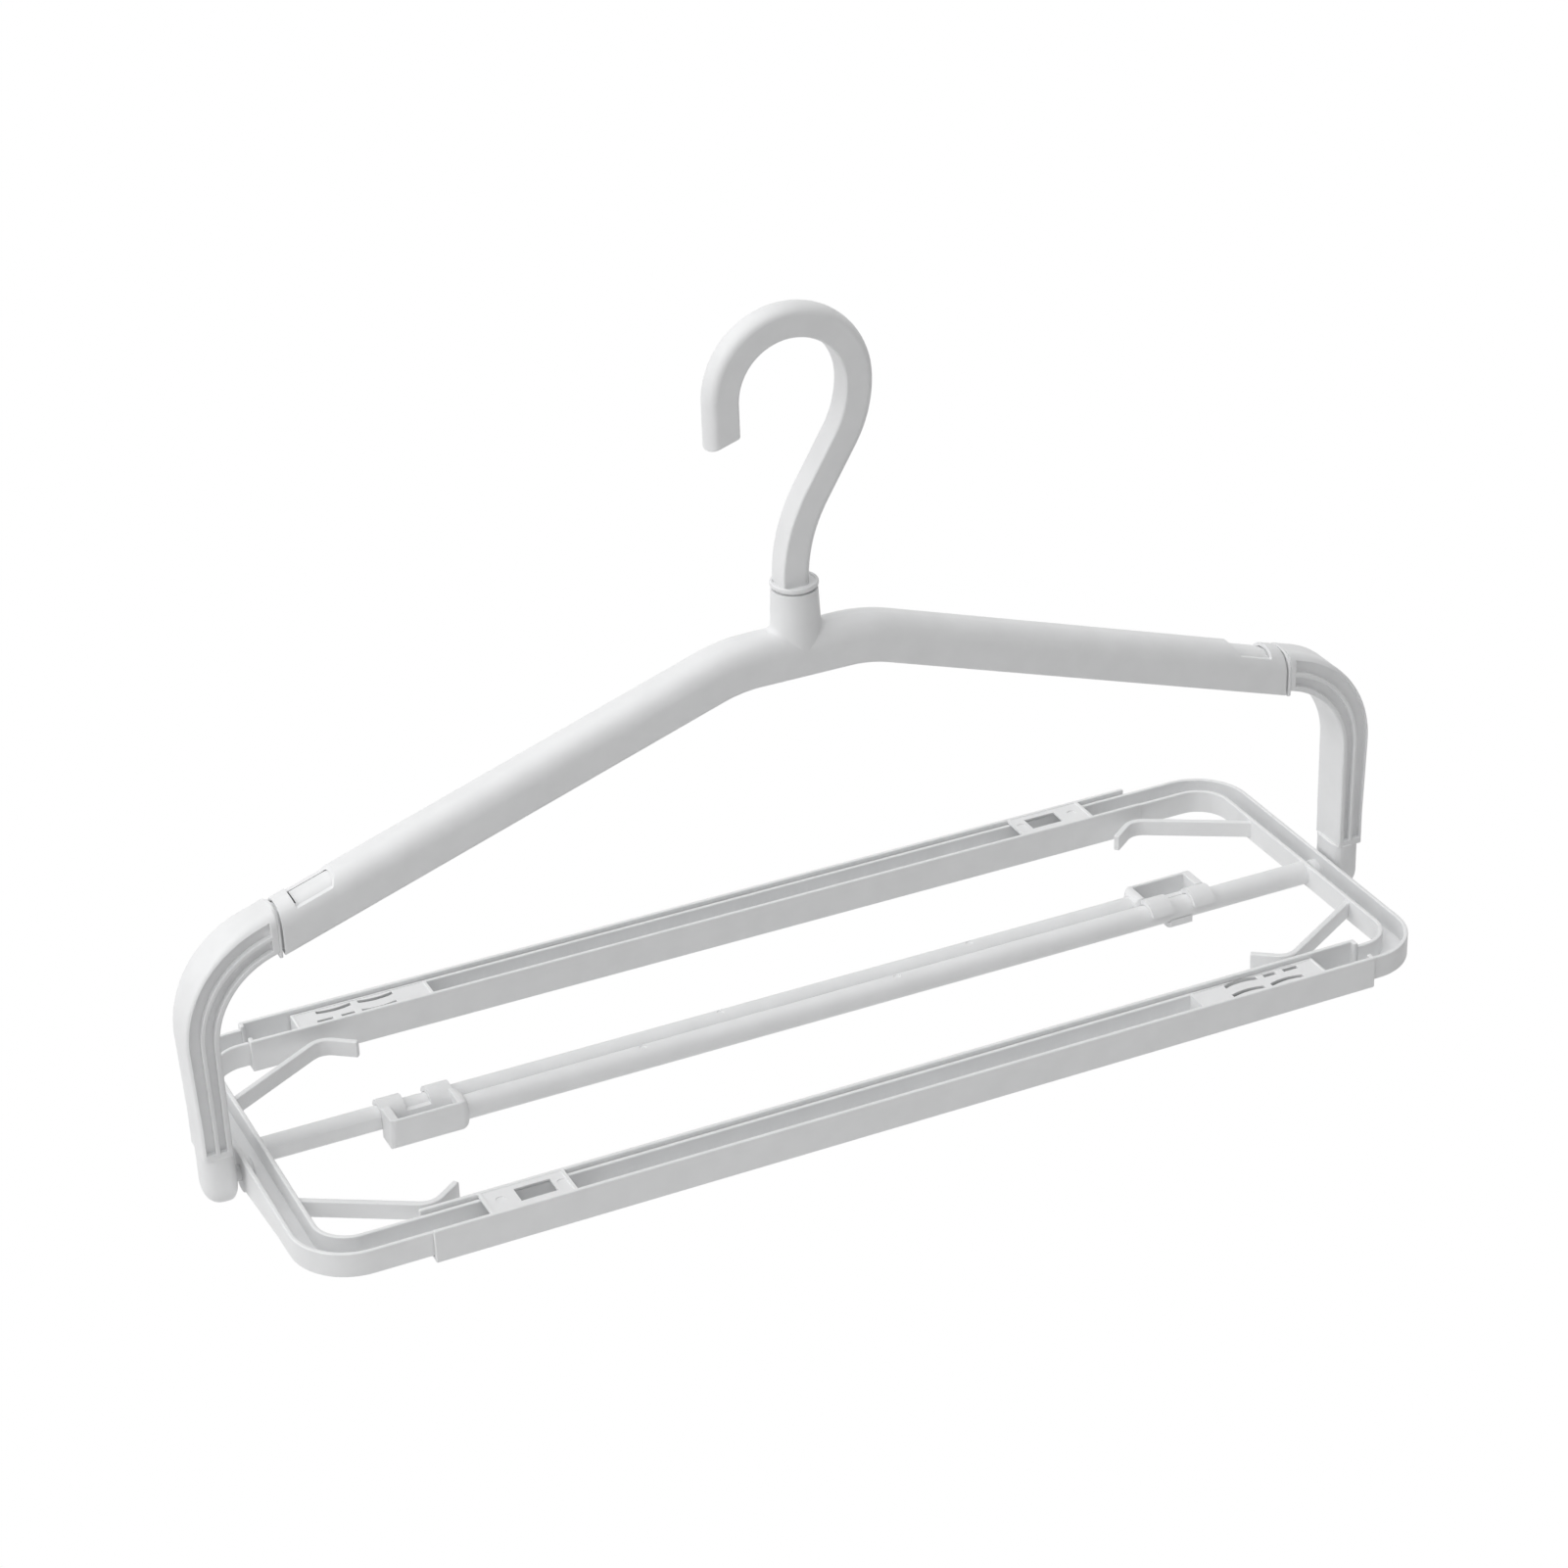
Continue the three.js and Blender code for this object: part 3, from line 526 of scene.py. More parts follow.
def beam_sweep(section, over):
    """Section carried along the underside."""
    return skin([
        [(x + up * math.sin(turn), across, z + up * math.cos(turn)) for across, up in section]
        for x, z, turn in beam_stations(over)
    ])


def cavity_section(clearance):
    """Section of the beam's hollow, drawn in by a clearance."""
    inset = BEAM_WALL + clearance
    return arch_section(
        BEAM_DEPTH - 2 * inset,
        BEAM_HEIGHT - 2 * inset,
        inset,
        BEAM_TOP_RADIUS - inset,
        BEAM_BOTTOM_RADIUS / 2,
    )


def beam_surface(y):
    """Height of the beam's arch at a distance from its mid-plane."""
    flat = BEAM_DEPTH / 2 - BEAM_TOP_RADIUS
    across = min(max(abs(y) - flat, 0), BEAM_TOP_RADIUS)
    return beam_top_z - BEAM_TOP_RADIUS + math.sqrt(BEAM_TOP_RADIUS ** 2 - across ** 2)


def fillet_end(foot_radius, turn):
    """Height of the fillet's centre, and the turn at which it meets the arch."""
    centre_r = foot_radius + COLLAR_FILLET_RADIUS
    limit = BEAM_DEPTH / 2 / max(abs(math.sin(turn)), LEAST_SINE)
    span = COLLAR_FILLET_RADIUS * FILLET_REACH
    samples = [foot_radius + span * i / FILLET_SAMPLES for i in range(FILLET_SAMPLES + 1)]
    curve = [(r, beam_surface(r * math.sin(turn))) for r in samples if r <= limit]
    low, high = beam_top_z - BEAM_TOP_RADIUS, beam_top_z + 2 * COLLAR_FILLET_RADIUS
    for _ in range(FILLET_HALVINGS):
        middle = (low + high) / 2
        gap = min(math.hypot(r - centre_r, z - middle) for r, z in curve)
        if gap > COLLAR_FILLET_RADIUS:
            high = middle
        else:
            low = middle
    r, z = min(curve, key=lambda p: math.hypot(p[0] - centre_r, p[1] - high))
    return high, math.atan2(z - high, r - centre_r) % math.tau


def collar():
    """A post whose foot flows into the arch of the beam, and lies flush with its front."""
    part_edge = EDGE * COLLAR_EDGE_SHARE
    lines = []
    for i in range(CIRCLE_STEPS):
        turn = math.tau * i / CIRCLE_STEPS
        cosine, sine = math.cos(turn), math.sin(turn)
        foot = 1 / math.hypot(cosine / COLLAR_FOOT_RADIUS, sine / COLLAR_TOP_RADIUS)
        centre_z, meet = fillet_end(foot, turn)
        centre_r = foot + COLLAR_FILLET_RADIUS
        line = [
            (COLLAR_TOP_RADIUS - EDGE, collar_top_z),
            (COLLAR_TOP_RADIUS - part_edge, collar_top_z - part_edge),
            (COLLAR_TOP_RADIUS, collar_top_z - EDGE),
            *arc(centre_r, centre_z, COLLAR_FILLET_RADIUS, math.pi, meet, FILLET_STEPS),
        ]
        end_r = line[-1][0] - 2 * EDGE
        line.append((end_r, beam_top_z - BEAM_TOP_RADIUS - COLLAR_SINK))
        lines.append([(r * cosine, r * sine, z) for r, z in line])
    return skin(list(zip(*lines)))


def window_tool():
    """Level cut through the crown of the slope, with a ramp at its inner end."""
    top = BEAM_HEIGHT + CUT_OVERRUN
    floor = BEAM_HEIGHT - WINDOW_DEPTH
    rise = CUT_OVERRUN * WINDOW_RAMP / WINDOW_DEPTH
    return prism(
        [(0, top), (0, floor), (WINDOW_RAMP - WINDOW_LENGTH, floor), (-WINDOW_LENGTH - rise, top)],
        -BEAM_DEPTH, BEAM_DEPTH, front,
    )


def beam():
    """Hollow beam with its collar, the bore for the hook's stem and the two windows."""
    section = arch_section(BEAM_DEPTH, BEAM_HEIGHT, 0, BEAM_TOP_RADIUS, BEAM_BOTTOM_RADIUS)
    half = BEAM_HALF_LENGTH
    body = beam_sweep(section, 0)
    keep(body, box(-half, half, -BEAM_DEPTH, BEAM_DEPTH, beam_bottom_z - half, 0))
    join(body, collar())
    cut(body, beam_sweep(cavity_section(0), CUT_OVERRUN))
    bore = HEAD_RADIUS + SWIVEL_CLEARANCE
    roof = beam_top_z - BEAM_WALL
    cut(body, lathe([(bore, beam_bottom_z + BEAM_WALL), (bore, roof)], plan))
    bore = STEM_RADIUS + SWIVEL_CLEARANCE
    cut(body, lathe([(bore, roof - CUT_OVERRUN), (bore, collar_top_z + CUT_OVERRUN)], plan))
    window_x = BEAM_HALF_LENGTH - WINDOW_END_DISTANCE
    foot_x = window_x - BEAM_HEIGHT * SLOPE_SINE
    for mirror in (1, -1):
        place = Matrix.Diagonal((mirror, 1, 1, 1))
        place = place @ Matrix.Translation((foot_x, 0, underside(foot_x)))
        place = place @ Matrix.Rotation(BEAM_SLOPE, 4, "Y")
        tool = window_tool()
        tool.data.transform(place)
        if mirror < 0:
            tool.data.flip_normals()
        cut(body, tool)
    end_x = BEAM_HALF_LENGTH - WELD
    return round_edges(body, EDGE, lambda m: abs(m.x) > end_x)


# Arms, made on the +X side

def arm_stations():
    """Points on the inner and outer edge, and the rounding of the outer corners."""
    inner_z = underside(flange_x) + ARM_BOTTOM_INSET / SLOPE_COSINE
    outer_z = inner_z + ARM_FLANGE_END_THICKNESS / SLOPE_COSINE
    flange = (Vector((flange_x, inner_z)), Vector((flange_x, outer_z)), ARM_FLANGE_ROUNDING)
    stations = [flange]
    steps = 2 * BEND_STEPS
    centre = Vector((elbow_x, elbow_z))
    for i in range(steps + 1):
        share = i / steps
        angle = (QUARTER - BEAM_SLOPE) * (1 - share)
        thickness = ARM_FLANGE_END_THICKNESS * (1 - share) + ARM_ELBOW_THICKNESS * share
        fade = max(1 - share / ARM_ROUNDING_SHARE, 0) ** 2
        rounding = ARM_OUTER_ROUNDING + (ARM_FLANGE_ROUNDING - ARM_OUTER_ROUNDING) * fade
        away = Vector((math.cos(angle), math.sin(angle)))
        outer = centre + away * (ARM_ELBOW_RADIUS + thickness)
        stations.append((centre + away * ARM_ELBOW_RADIUS, outer, rounding))
    foot_x = arm_inner_x + ARM_FOOT_THICKNESS
    for z in (pivot_z + ARM_FOOT_LENGTH, pivot_z + BOSS_HEIGHT - EDGE):
        stations.append((Vector((arm_inner_x, z)), Vector((foot_x, z)), ARM_OUTER_ROUNDING))
    return stations


def arm_section(thickness, outer_radius):
    """Rounded rectangle as (across, out) points, out running from the inner edge."""
    half = ARM_DEPTH / 2
    edge = ARM_INNER_ROUNDING
    high = thickness - outer_radius
    return [
        *arc(edge - half, edge, edge, 2 * QUARTER, 3 * QUARTER, CORNER_STEPS),
        *arc(half - edge, edge, edge, 3 * QUARTER, 4 * QUARTER, CORNER_STEPS),
        *arc(half - outer_radius, high, outer_radius, 0, QUARTER, 2 * CORNER_STEPS),
        *arc(outer_radius - half, high, outer_radius, QUARTER, 2 * QUARTER, 2 * CORNER_STEPS),
    ]


def arm_band(outer_offset, inner_offset):
    """A band of the arm's face between two offsets, each measured from its own edge."""
    outer_line, inner_line = [], []
    for inner, outer, rounding in arm_stations():
        across = inner - outer
        thickness = across.length
        across.normalize()
        wide = (rounding - ARM_OUTER_ROUNDING) * ARM_RIM_GROWTH
        outer_line.append(tuple(outer + across * outer_offset(thickness, wide)))
        inner_line.append(tuple(inner - across * inner_offset(thickness, wide)))
    return inner_line + outer_line[::-1]


def arm_slide():
    """Hollow bar that slides in the beam, with a slot in its top."""
    section = cavity_section(SLIDE_CLEARANCE)
    hollow_half = BEAM_DEPTH / 2 - BEAM_WALL - SLIDE_CLEARANCE - SLIDE_WALL
    hollow_top = BEAM_HEIGHT - BEAM_WALL - SLIDE_CLEARANCE - SLIDE_WALL
    bar = prism(section, -SLIDE_LENGTH, ARM_FLANGE_THICKNESS, side)
    cut(bar, box(
        -SLIDE_LENGTH - CUT_OVERRUN, -SLIDE_CLEARANCE - FLANGE_GAP,
        -hollow_half, hollow_half,
        0, hollow_top,
    ))
    window_end = FLANGE_GAP + WINDOW_END_DISTANCE + BEAM_HEIGHT * SLOPE_SINE
    slot_end = -window_end / SLOPE_COSINE - SLIDE_CLEARANCE
    cut(bar, box(
        slot_end - SLOT_LENGTH, slot_end,
        -SLOT_WIDTH / 2, SLOT_WIDTH / 2,
        hollow_top - CUT_OVERRUN, BEAM_HEIGHT,
    ))
    place = Matrix.Translation((flange_x, 0, underside(flange_x)))
    bar.data.transform(place @ Matrix.Rotation(BEAM_SLOPE, 4, "Y"))
    return bar


def sink(outline, direction):
    """Tool that sinks an outline into one face of the arm, widened round its rim."""
    face = ARM_DEPTH / 2
    levels = [(face - ARM_RECESS_DEPTH, 0)]
    for i in range(CORNER_STEPS + 1):
        turn = QUARTER * i / CORNER_STEPS
        levels.append((face - EDGE * (1 - math.sin(turn)), EDGE * (1 - math.cos(turn))))
    levels.append((face + CUT_OVERRUN, EDGE))
    return skin([[front(u, v, direction * y) for u, v in outline(grow)] for y, grow in levels])


def arm_grooves():
    """The two sunk bands beside the rib, on both faces."""
    rib = ARM_RIB_WIDTH / 2
    start_x = flange_x + ARM_PLAIN_LENGTH
    end_x = arm_inner_x + ARM_ELBOW_THICKNESS
    end_z = pivot_z + ARM_RECESS_END_HEIGHT

    def outer(grow):
        return arm_band(
            lambda t, wide: ARM_OUTER_RIM + wide - grow,
            lambda t, wide: (t - wide) / 2 + rib - grow,
        )

    def inner(grow):
        return arm_band(
            lambda t, wide: (t + wide) / 2 + rib - grow,
            lambda t, wide: ARM_INNER_RIM - grow,
        )

    def limits(grow):
        return [
            (start_x - grow, end_z - grow), (end_x, end_z - grow),
            (end_x, beam_bottom_z), (start_x - grow, beam_bottom_z),
        ]

    return [
        keep(sink(band, direction), sink(limits, direction))
        for band in (outer, inner) for direction in (-1, 1)
    ]


def oval(cx, cy, rx, ry, quarters):
    """One rounded corner, starting after the given number of quarter turns."""
    start = quarters * QUARTER
    return [
        (cx + rx * u, cy + ry * v)
        for u, v in arc(0, 0, 1, start, start + QUARTER, 2 * CORNER_STEPS)
    ]


def arm_boss():
    """Foot of the arm: a pad with soft corners above, and a round end below."""
    half = ARM_DEPTH / 2 + BOSS_PROUD
    round_y = half - BOSS_ROUNDING
    outer_x = arm_inner_x + ARM_FOOT_THICKNESS - BOSS_ROUNDING
    inner_x = boss_x + BOSS_INNER_ROUNDING
    centre_z = pivot_z + BOSS_PROUD
    pad = prism([
        *oval(outer_x, round_y, BOSS_ROUNDING, BOSS_ROUNDING, 0),
        *oval(inner_x, round_y, BOSS_INNER_ROUNDING, BOSS_ROUNDING, 1),
        *oval(inner_x, -round_y, BOSS_INNER_ROUNDING, BOSS_ROUNDING, 2),
        *oval(outer_x, -round_y, BOSS_ROUNDING, BOSS_ROUNDING, 3),
    ], centre_z, pivot_z + BOSS_HEIGHT, plan)
    round_edges(pad, EDGE, lambda m: m.z > pivot_z + BOSS_HEIGHT - WELD)
    return join(pad, lathe([
        *oval(round_y, inner_x, BOSS_ROUNDING, BOSS_INNER_ROUNDING, 3),
        *oval(round_y, outer_x, BOSS_ROUNDING, BOSS_ROUNDING, 0),
    ], side, 0, centre_z))


def arm():
    """Slide, flange, elbow and foot, with the bore for the pivot pin."""
    rings = []
    for inner, outer, rounding in arm_stations():
        out = (outer - inner).normalized()
        rings.append([
            (inner.x + out.x * up, across, inner.y + out.y * up)
            for across, up in arm_section((outer - inner).length, rounding)
        ])
    body = skin(rings)
    section = arch_section(
        BEAM_DEPTH,
        BEAM_HEIGHT / SLOPE_COSINE,
        underside(flange_x),
        BEAM_TOP_RADIUS,
        BEAM_BOTTOM_RADIUS,
    )
    flange = prism(section, flange_x - ARM_FLANGE_THICKNESS, flange_x, side)
    round_edges(flange, FINE_EDGE)
    cut(body, *arm_grooves())
    join(body, arm_boss(), flange, arm_slide())
    bore = PIN_RADIUS + PIVOT_CLEARANCE
    cut(body, lathe([(bore, boss_x - CUT_OVERRUN), (bore, boss_x + PIN_DEPTH)], side, 0, pivot_z))
    return clean(body)


def pivot_pin():
    """Pin whose head lies in the bow and whose shaft lies in the arm's foot."""
    head_x = frame_half_length - BOW_WALL - PIVOT_CLEARANCE - PIN_HEAD_THICKNESS
    shaft_end = boss_x + PIN_DEPTH - PIVOT_CLEARANCE
    head_end = head_x + PIN_HEAD_THICKNESS
    edge = FINE_EDGE
    return lathe([
        *arc(PIN_HEAD_RADIUS - edge, head_x + edge, edge, -QUARTER, 0, CORNER_STEPS),
        *arc(PIN_HEAD_RADIUS - edge, head_end - edge, edge, 0, QUARTER, CORNER_STEPS),
        (PIN_RADIUS, head_end),
        *arc(PIN_RADIUS - edge, shaft_end - edge, edge, 0, QUARTER, CORNER_STEPS),
    ], side, 0, pivot_z)


# Frame halves

def bow_outline(inset, over):
    """Slim rail, near corner, short side and far corner in plan, drawn in by an inset."""
    centre_x = BOW_OUTER_RADIUS - frame_half_length
    outer_y = rail_outer - BOW_OUTER_RADIUS
    inner_y = rail_inner - BOW_INNER_RADIUS
    outer_radius = BOW_OUTER_RADIUS - inset
    inner_radius = BOW_INNER_RADIUS + inset
    rail_end = tip_start_x + over
    sleeve_end = SLEEVE_END_INSET - frame_half_length + over
    inner_x = BOW_SHORT_WIDTH - frame_half_length + BOW_INNER_RADIUS
    return [
        (rail_end, inset - rail_outer),
        *arc(centre_x, -outer_y, outer_radius, -QUARTER, -2 * QUARTER),
        *arc(centre_x, outer_y, outer_radius, 2 * QUARTER, QUARTER),
        (sleeve_end, rail_outer - inset),
        (sleeve_end, rail_inner + inset),
        *arc(inner_x, inner_y, inner_radius, QUARTER, 2 * QUARTER),
        *arc(inner_x, -inner_y, inner_radius, 2 * QUARTER, 3 * QUARTER),
        (rail_end, -rail_inner - inset),
    ]


def bow():
    """Open channel of the short side, both corners and the slim rail, with the ear."""
    floor_z = bow_bottom_z + BOW_FLOOR
    ear_z = -FRAME_TOP_HEIGHT
    outer_x = -frame_half_length
    wall_x = outer_x + BOW_WALL
    taper = BOW_EAR_RADIUS + BOW_EAR_TAPER
    rail_end = tip_start_x - WELD
    body = prism(bow_outline(0, 0), bow_bottom_z, bow_top_z, plan)
    cut(body, prism(bow_outline(BOW_WALL, CUT_OVERRUN), floor_z, bow_top_z + CUT_OVERRUN, plan))
    round_edges(body, BOW_LIP, lambda m: m.z > bow_top_z - WELD and m.x < rail_end)
    round_edges(body, EDGE, lambda m: m.z < bow_bottom_z + WELD and m.x < rail_end
                and not (m.x < wall_x and abs(m.y) < taper))
    cover = PIN_HEAD_THICKNESS + 2 * PIVOT_CLEARANCE
    head_room = PIN_HEAD_RADIUS + PIVOT_CLEARANCE
    cover_radius = head_room + BUMP_WALL
    cover_end = wall_x + cover + BUMP_WALL
    bump = lathe([
        (cover_radius, outer_x + EDGE),
        *arc(
            cover_radius - BUMP_ROUNDING, cover_end - BUMP_ROUNDING,
            BUMP_ROUNDING, 0, QUARTER, BUMP_STEPS,
        ),
    ], side, 0, ear_z)
    keep(bump, box(outer_x, 0, -taper, taper, bow_bottom_z, bow_top_z))
    join(body, bump)
    cut(body, lathe([(head_room, wall_x), (head_room, wall_x + cover)], side, 0, ear_z))
    ear = prism([
        (-taper, bow_bottom_z + EDGE),
        (-taper, bow_bottom_z),
        *arc(0, ear_z, BOW_EAR_RADIUS, 2.5 * QUARTER, 3.5 * QUARTER),
        (taper, bow_bottom_z),
        (taper, bow_bottom_z + EDGE),
    ], outer_x, wall_x, side)
    join(body, ear)
    hole = PIN_RADIUS + PIVOT_CLEARANCE
    cut(body, lathe([(hole, outer_x - CUT_OVERRUN), (hole, wall_x + CUT_OVERRUN)], side, 0, ear_z))
    return clean(body)


def sleeve():
    """Wide rail, open on top, with the strap that bridges it."""
    closed_x = SLEEVE_END_INSET - frame_half_length
    channel_inner = sleeve_inner + SLEEVE_WALL
    channel_outer = FRAME_HALF_DEPTH - SLEEVE_WALL
    bridge_end = sleeve_free_x - BRIDGE_INSET
    bridge_start = bridge_end - BRIDGE_LENGTH
    window_end = bridge_end - BRIDGE_WINDOW_INSET
    window_start = window_end - BRIDGE_WINDOW_LENGTH
    middle = FRAME_HALF_DEPTH - SLEEVE_WIDTH / 2
    half = BRIDGE_WINDOW_WIDTH / 2
    body = box(closed_x, sleeve_free_x, sleeve_inner, FRAME_HALF_DEPTH, -SLEEVE_HEIGHT, 0)
    cut(body, box(
        closed_x + SLEEVE_WALL, sleeve_free_x + CUT_OVERRUN,
        channel_inner, channel_outer,
        SLEEVE_FLOOR - SLEEVE_HEIGHT, CUT_OVERRUN,
    ))
    cut(body, box(
        closed_x - CUT_OVERRUN, closed_x + SLEEVE_WALL + CUT_OVERRUN,
        rail_inner + BOW_WALL, rail_outer - BOW_WALL,
        bow_bottom_z + BOW_FLOOR, CUT_OVERRUN,
    ))
    round_edges(body, EDGE)
    bridge = box(
        bridge_start, bridge_end,
        sleeve_inner + SLEEVE_WALL / 2, FRAME_HALF_DEPTH - SLEEVE_WALL / 2,
        -BRIDGE_THICKNESS, 0,
    )
    cut(bridge, box(
        bridge_start + BRIDGE_RIB, bridge_end - BRIDGE_RIB,
        channel_inner - EDGE, channel_outer + EDGE,
        -BRIDGE_SINK, CUT_OVERRUN,
    ))
    cut(bridge, box(
        window_start, window_end, middle - half, middle + half,
        -BRIDGE_THICKNESS - CUT_OVERRUN, CUT_OVERRUN,
    ))
    floor_z = -BRIDGE_SINK - WELD
    round_edges(
        bridge, BRIDGE_SINK / 2, lambda m: channel_inner < m.y < channel_outer and m.z > floor_z
    )
    for x in ((bridge_start + window_start) / 2, (bridge_end + window_end) / 2):
        cut(bridge, lathe([
            (BRIDGE_MARK_RADIUS, -BRIDGE_SINK - MARK_DEPTH),
            (BRIDGE_MARK_RADIUS, CUT_OVERRUN),
        ], plan, x, middle, MARK_STEPS))
    return join(body, bridge)


def slit(start, end, y, rise):
    """Tool for a slit between two places along the rail, bowed by a rise at its middle."""
    line = []
    for i in range(SLIT_STEPS + 1):
        share = i / SLIT_STEPS
        bulge = rise * 4 * share * (1 - share)
        line.append((start + (end - start) * share, y + bulge))
    half = SLIT_WIDTH / 2
    outline = [(x, v - half) for x, v in line] + [(x, v + half) for x, v in line[::-1]]
    low = bow_top_z - TIP_PLATE - CUT_OVERRUN
    return prism(outline, low, bow_top_z + CUT_OVERRUN, plan)


def rail_tip():
    """End plate of the slim rail, with its slits."""
    middle = (rail_outer + rail_inner) / 2
    row = (rail_outer - rail_inner) / 2 - BOW_WALL - SLIT_WIDTH / 2
    body = box(tip_start_x, tip_end_x, -rail_outer, -rail_inner, bow_bottom_z, bow_top_z)
    round_edges(body, EDGE, lambda m: m.x > tip_start_x + WELD)
    cut(body, box(
        tip_start_x + BOW_WALL, tip_end_x - BOW_WALL,
        -rail_outer + BOW_WALL, -rail_inner - BOW_WALL,
        bow_bottom_z - CUT_OVERRUN, bow_top_z - TIP_PLATE,
    ))
    cut(body, box(
        tip_start_x + TIP_RIM, tip_end_x - TIP_RIM,
        -rail_outer + TIP_RIM, -rail_inner - TIP_RIM,
        bow_top_z - TIP_SINK, bow_top_z + CUT_OVERRUN,
    ))
    for y, slits in ((-middle + row, INNER_SLITS), (-middle - row, OUTER_SLITS)):
        for start, end, rise in slits:
            cut(body, slit(tip_end_x - start, tip_end_x - end, y, rise))
    low_z, low_x = bow_top_z - TIP_SINK - WELD, tip_start_x + WELD
    return round_edges(body, TIP_SINK / 2, lambda m: m.z > low_z and m.x > low_x)


def rod_outline(direction, clearance):
    """Round bar with a flat towards the mid-plane, its two corners rounded."""
    radius = ROD_RADIUS + clearance
    flat = ROD_FLAT_OFFSET + clearance
    corner = ROD_FLAT_ROUNDING
    corner_u = flat - corner
    corner_v = math.sqrt((radius - corner) ** 2 - corner_u ** 2)
    lean = math.atan2(corner_v, corner_u)
    line = arc(0, 0, radius, lean, math.tau - lean, 3 * BEND_STEPS)
    line += arc(corner_u, -corner_v, corner, -lean, 0, 2 * CORNER_STEPS)[1:]
    line += arc(corner_u, corner_v, corner, 0, lean, 2 * CORNER_STEPS)[:-1]
    return [(direction * (rod_centre_y - u), -ROD_AXIS_DROP + v) for u, v in line]


def centre_rod():
    """Bar with a flat side, and two round marks in its top."""
    root_x = BOW_SHORT_WIDTH - frame_half_length
    body = prism(rod_outline(1, 0), root_x, clamp_start_x - CLAMP_FAIRING, side)
    mark_z = ROD_RADIUS - ROD_AXIS_DROP - MARK_DEPTH
    for x in ROD_MARK_PLACES:
        cut(body, lathe([
            (ROD_MARK_RADIUS - MARK_DEPTH, mark_z - MARK_DEPTH),
            (ROD_MARK_RADIUS, mark_z),
            (ROD_MARK_RADIUS, CUT_OVERRUN),
        ], plan, x, rod_centre_y, MARK_STEPS))
    return body


def reach(outline, centre, turn):
    """Distance from a centre to a closed outline round it, in one direction."""
    along = Vector((math.cos(turn), math.sin(turn)))
    for start, end in zip(outline, outline[1:] + outline[:1]):
        first = Vector(start) - centre
        step = Vector(end) - Vector(start)
        lean = along.cross(step)
        if abs(lean) > PARALLEL_LIMIT:
            distance = first.cross(step) / lean
            share = first.cross(along) / lean
            if distance > 0 and -SHARE_SLACK <= share <= 1 + SHARE_SLACK:
                return distance
    return 0


def fairing(box_outline):
    """End of the rod, with a rounded shoulder up to the clamp's outline."""
    centre = Vector((rod_centre_y, -ROD_AXIS_DROP))
    turns = [math.tau * i / CIRCLE_STEPS for i in range(CIRCLE_STEPS)]
    rod_line = rod_outline(1, 0)
    ends = [(reach(rod_line, centre, t), reach(box_outline, centre, t)) for t in turns]
    stations = [(clamp_start_x - CLAMP_FAIRING, 0)]
    for i in range(FAIRING_STEPS + 1):
        rise = QUARTER * i / FAIRING_STEPS
        x = clamp_start_x + CLAMP_WALL / 2 - CLAMP_SHOULDER * math.cos(rise)
        stations.append((x, math.sin(rise) * (1 - FAIRING_INSET)))
    rings = []
    for x, blend in stations:
        ring = []
        for turn, (inner, outer) in zip(turns, ends):
            radius = inner + (outer - inner) * blend
            ring.append((x, centre.x + radius * math.cos(turn), centre.y + radius * math.sin(turn)))
        rings.append(ring)
    return skin(rings)


def clamp_plan():
    """Plan outline of the clamp's box, with the corner at its free end rounded."""
    corner = CLAMP_CORNER_RADIUS
    start_x = clamp_start_x + WELD
    return [
        (clamp_end_x, -ROD_GAP - CUT_OVERRUN),
        *arc(clamp_end_x - corner, CLAMP_REACH - corner, corner, 0, QUARTER, 2 * CORNER_STEPS),
        (start_x, CLAMP_REACH),
        (start_x, -ROD_GAP - CUT_OVERRUN),
    ]


def clamp_holder():
    """Two arches and a cradle with a lip, which hold the other half's rod."""
    wrap_radius = ROD_RADIUS + SLIDE_CLEARANCE + CLAMP_WRAP_WALL
    wrap_low = -ROD_AXIS_DROP - wrap_radius
    arch_end = clamp_start_x + CLAMP_ARCH_LENGTH
    arch_start = clamp_end_x - CLAMP_ARCH_LENGTH
    outer_y = -rod_centre_y - wrap_radius
    arch_low = CLAMP_ARCH_RISE - ROD_AXIS_DROP
    holder = box(clamp_start_x, arch_end, outer_y, wrap_radius, arch_low, wrap_radius)
    join(
        holder,
        box(arch_start, clamp_end_x, outer_y, wrap_radius, arch_low, wrap_radius),
        box(clamp_start_x, clamp_end_x, -ROD_GAP, wrap_radius, wrap_low, -CLAMP_CRADLE_DROP),
        box(
            arch_end, arch_start,
            -rod_centre_y - CLAMP_LIP_REACH, wrap_radius,
            wrap_low, -ROD_AXIS_DROP,
        ),
    )
    return keep(holder, lathe(
        [(wrap_radius, clamp_start_x), (wrap_radius, clamp_end_x)],
        side, -rod_centre_y, -ROD_AXIS_DROP,
    ))


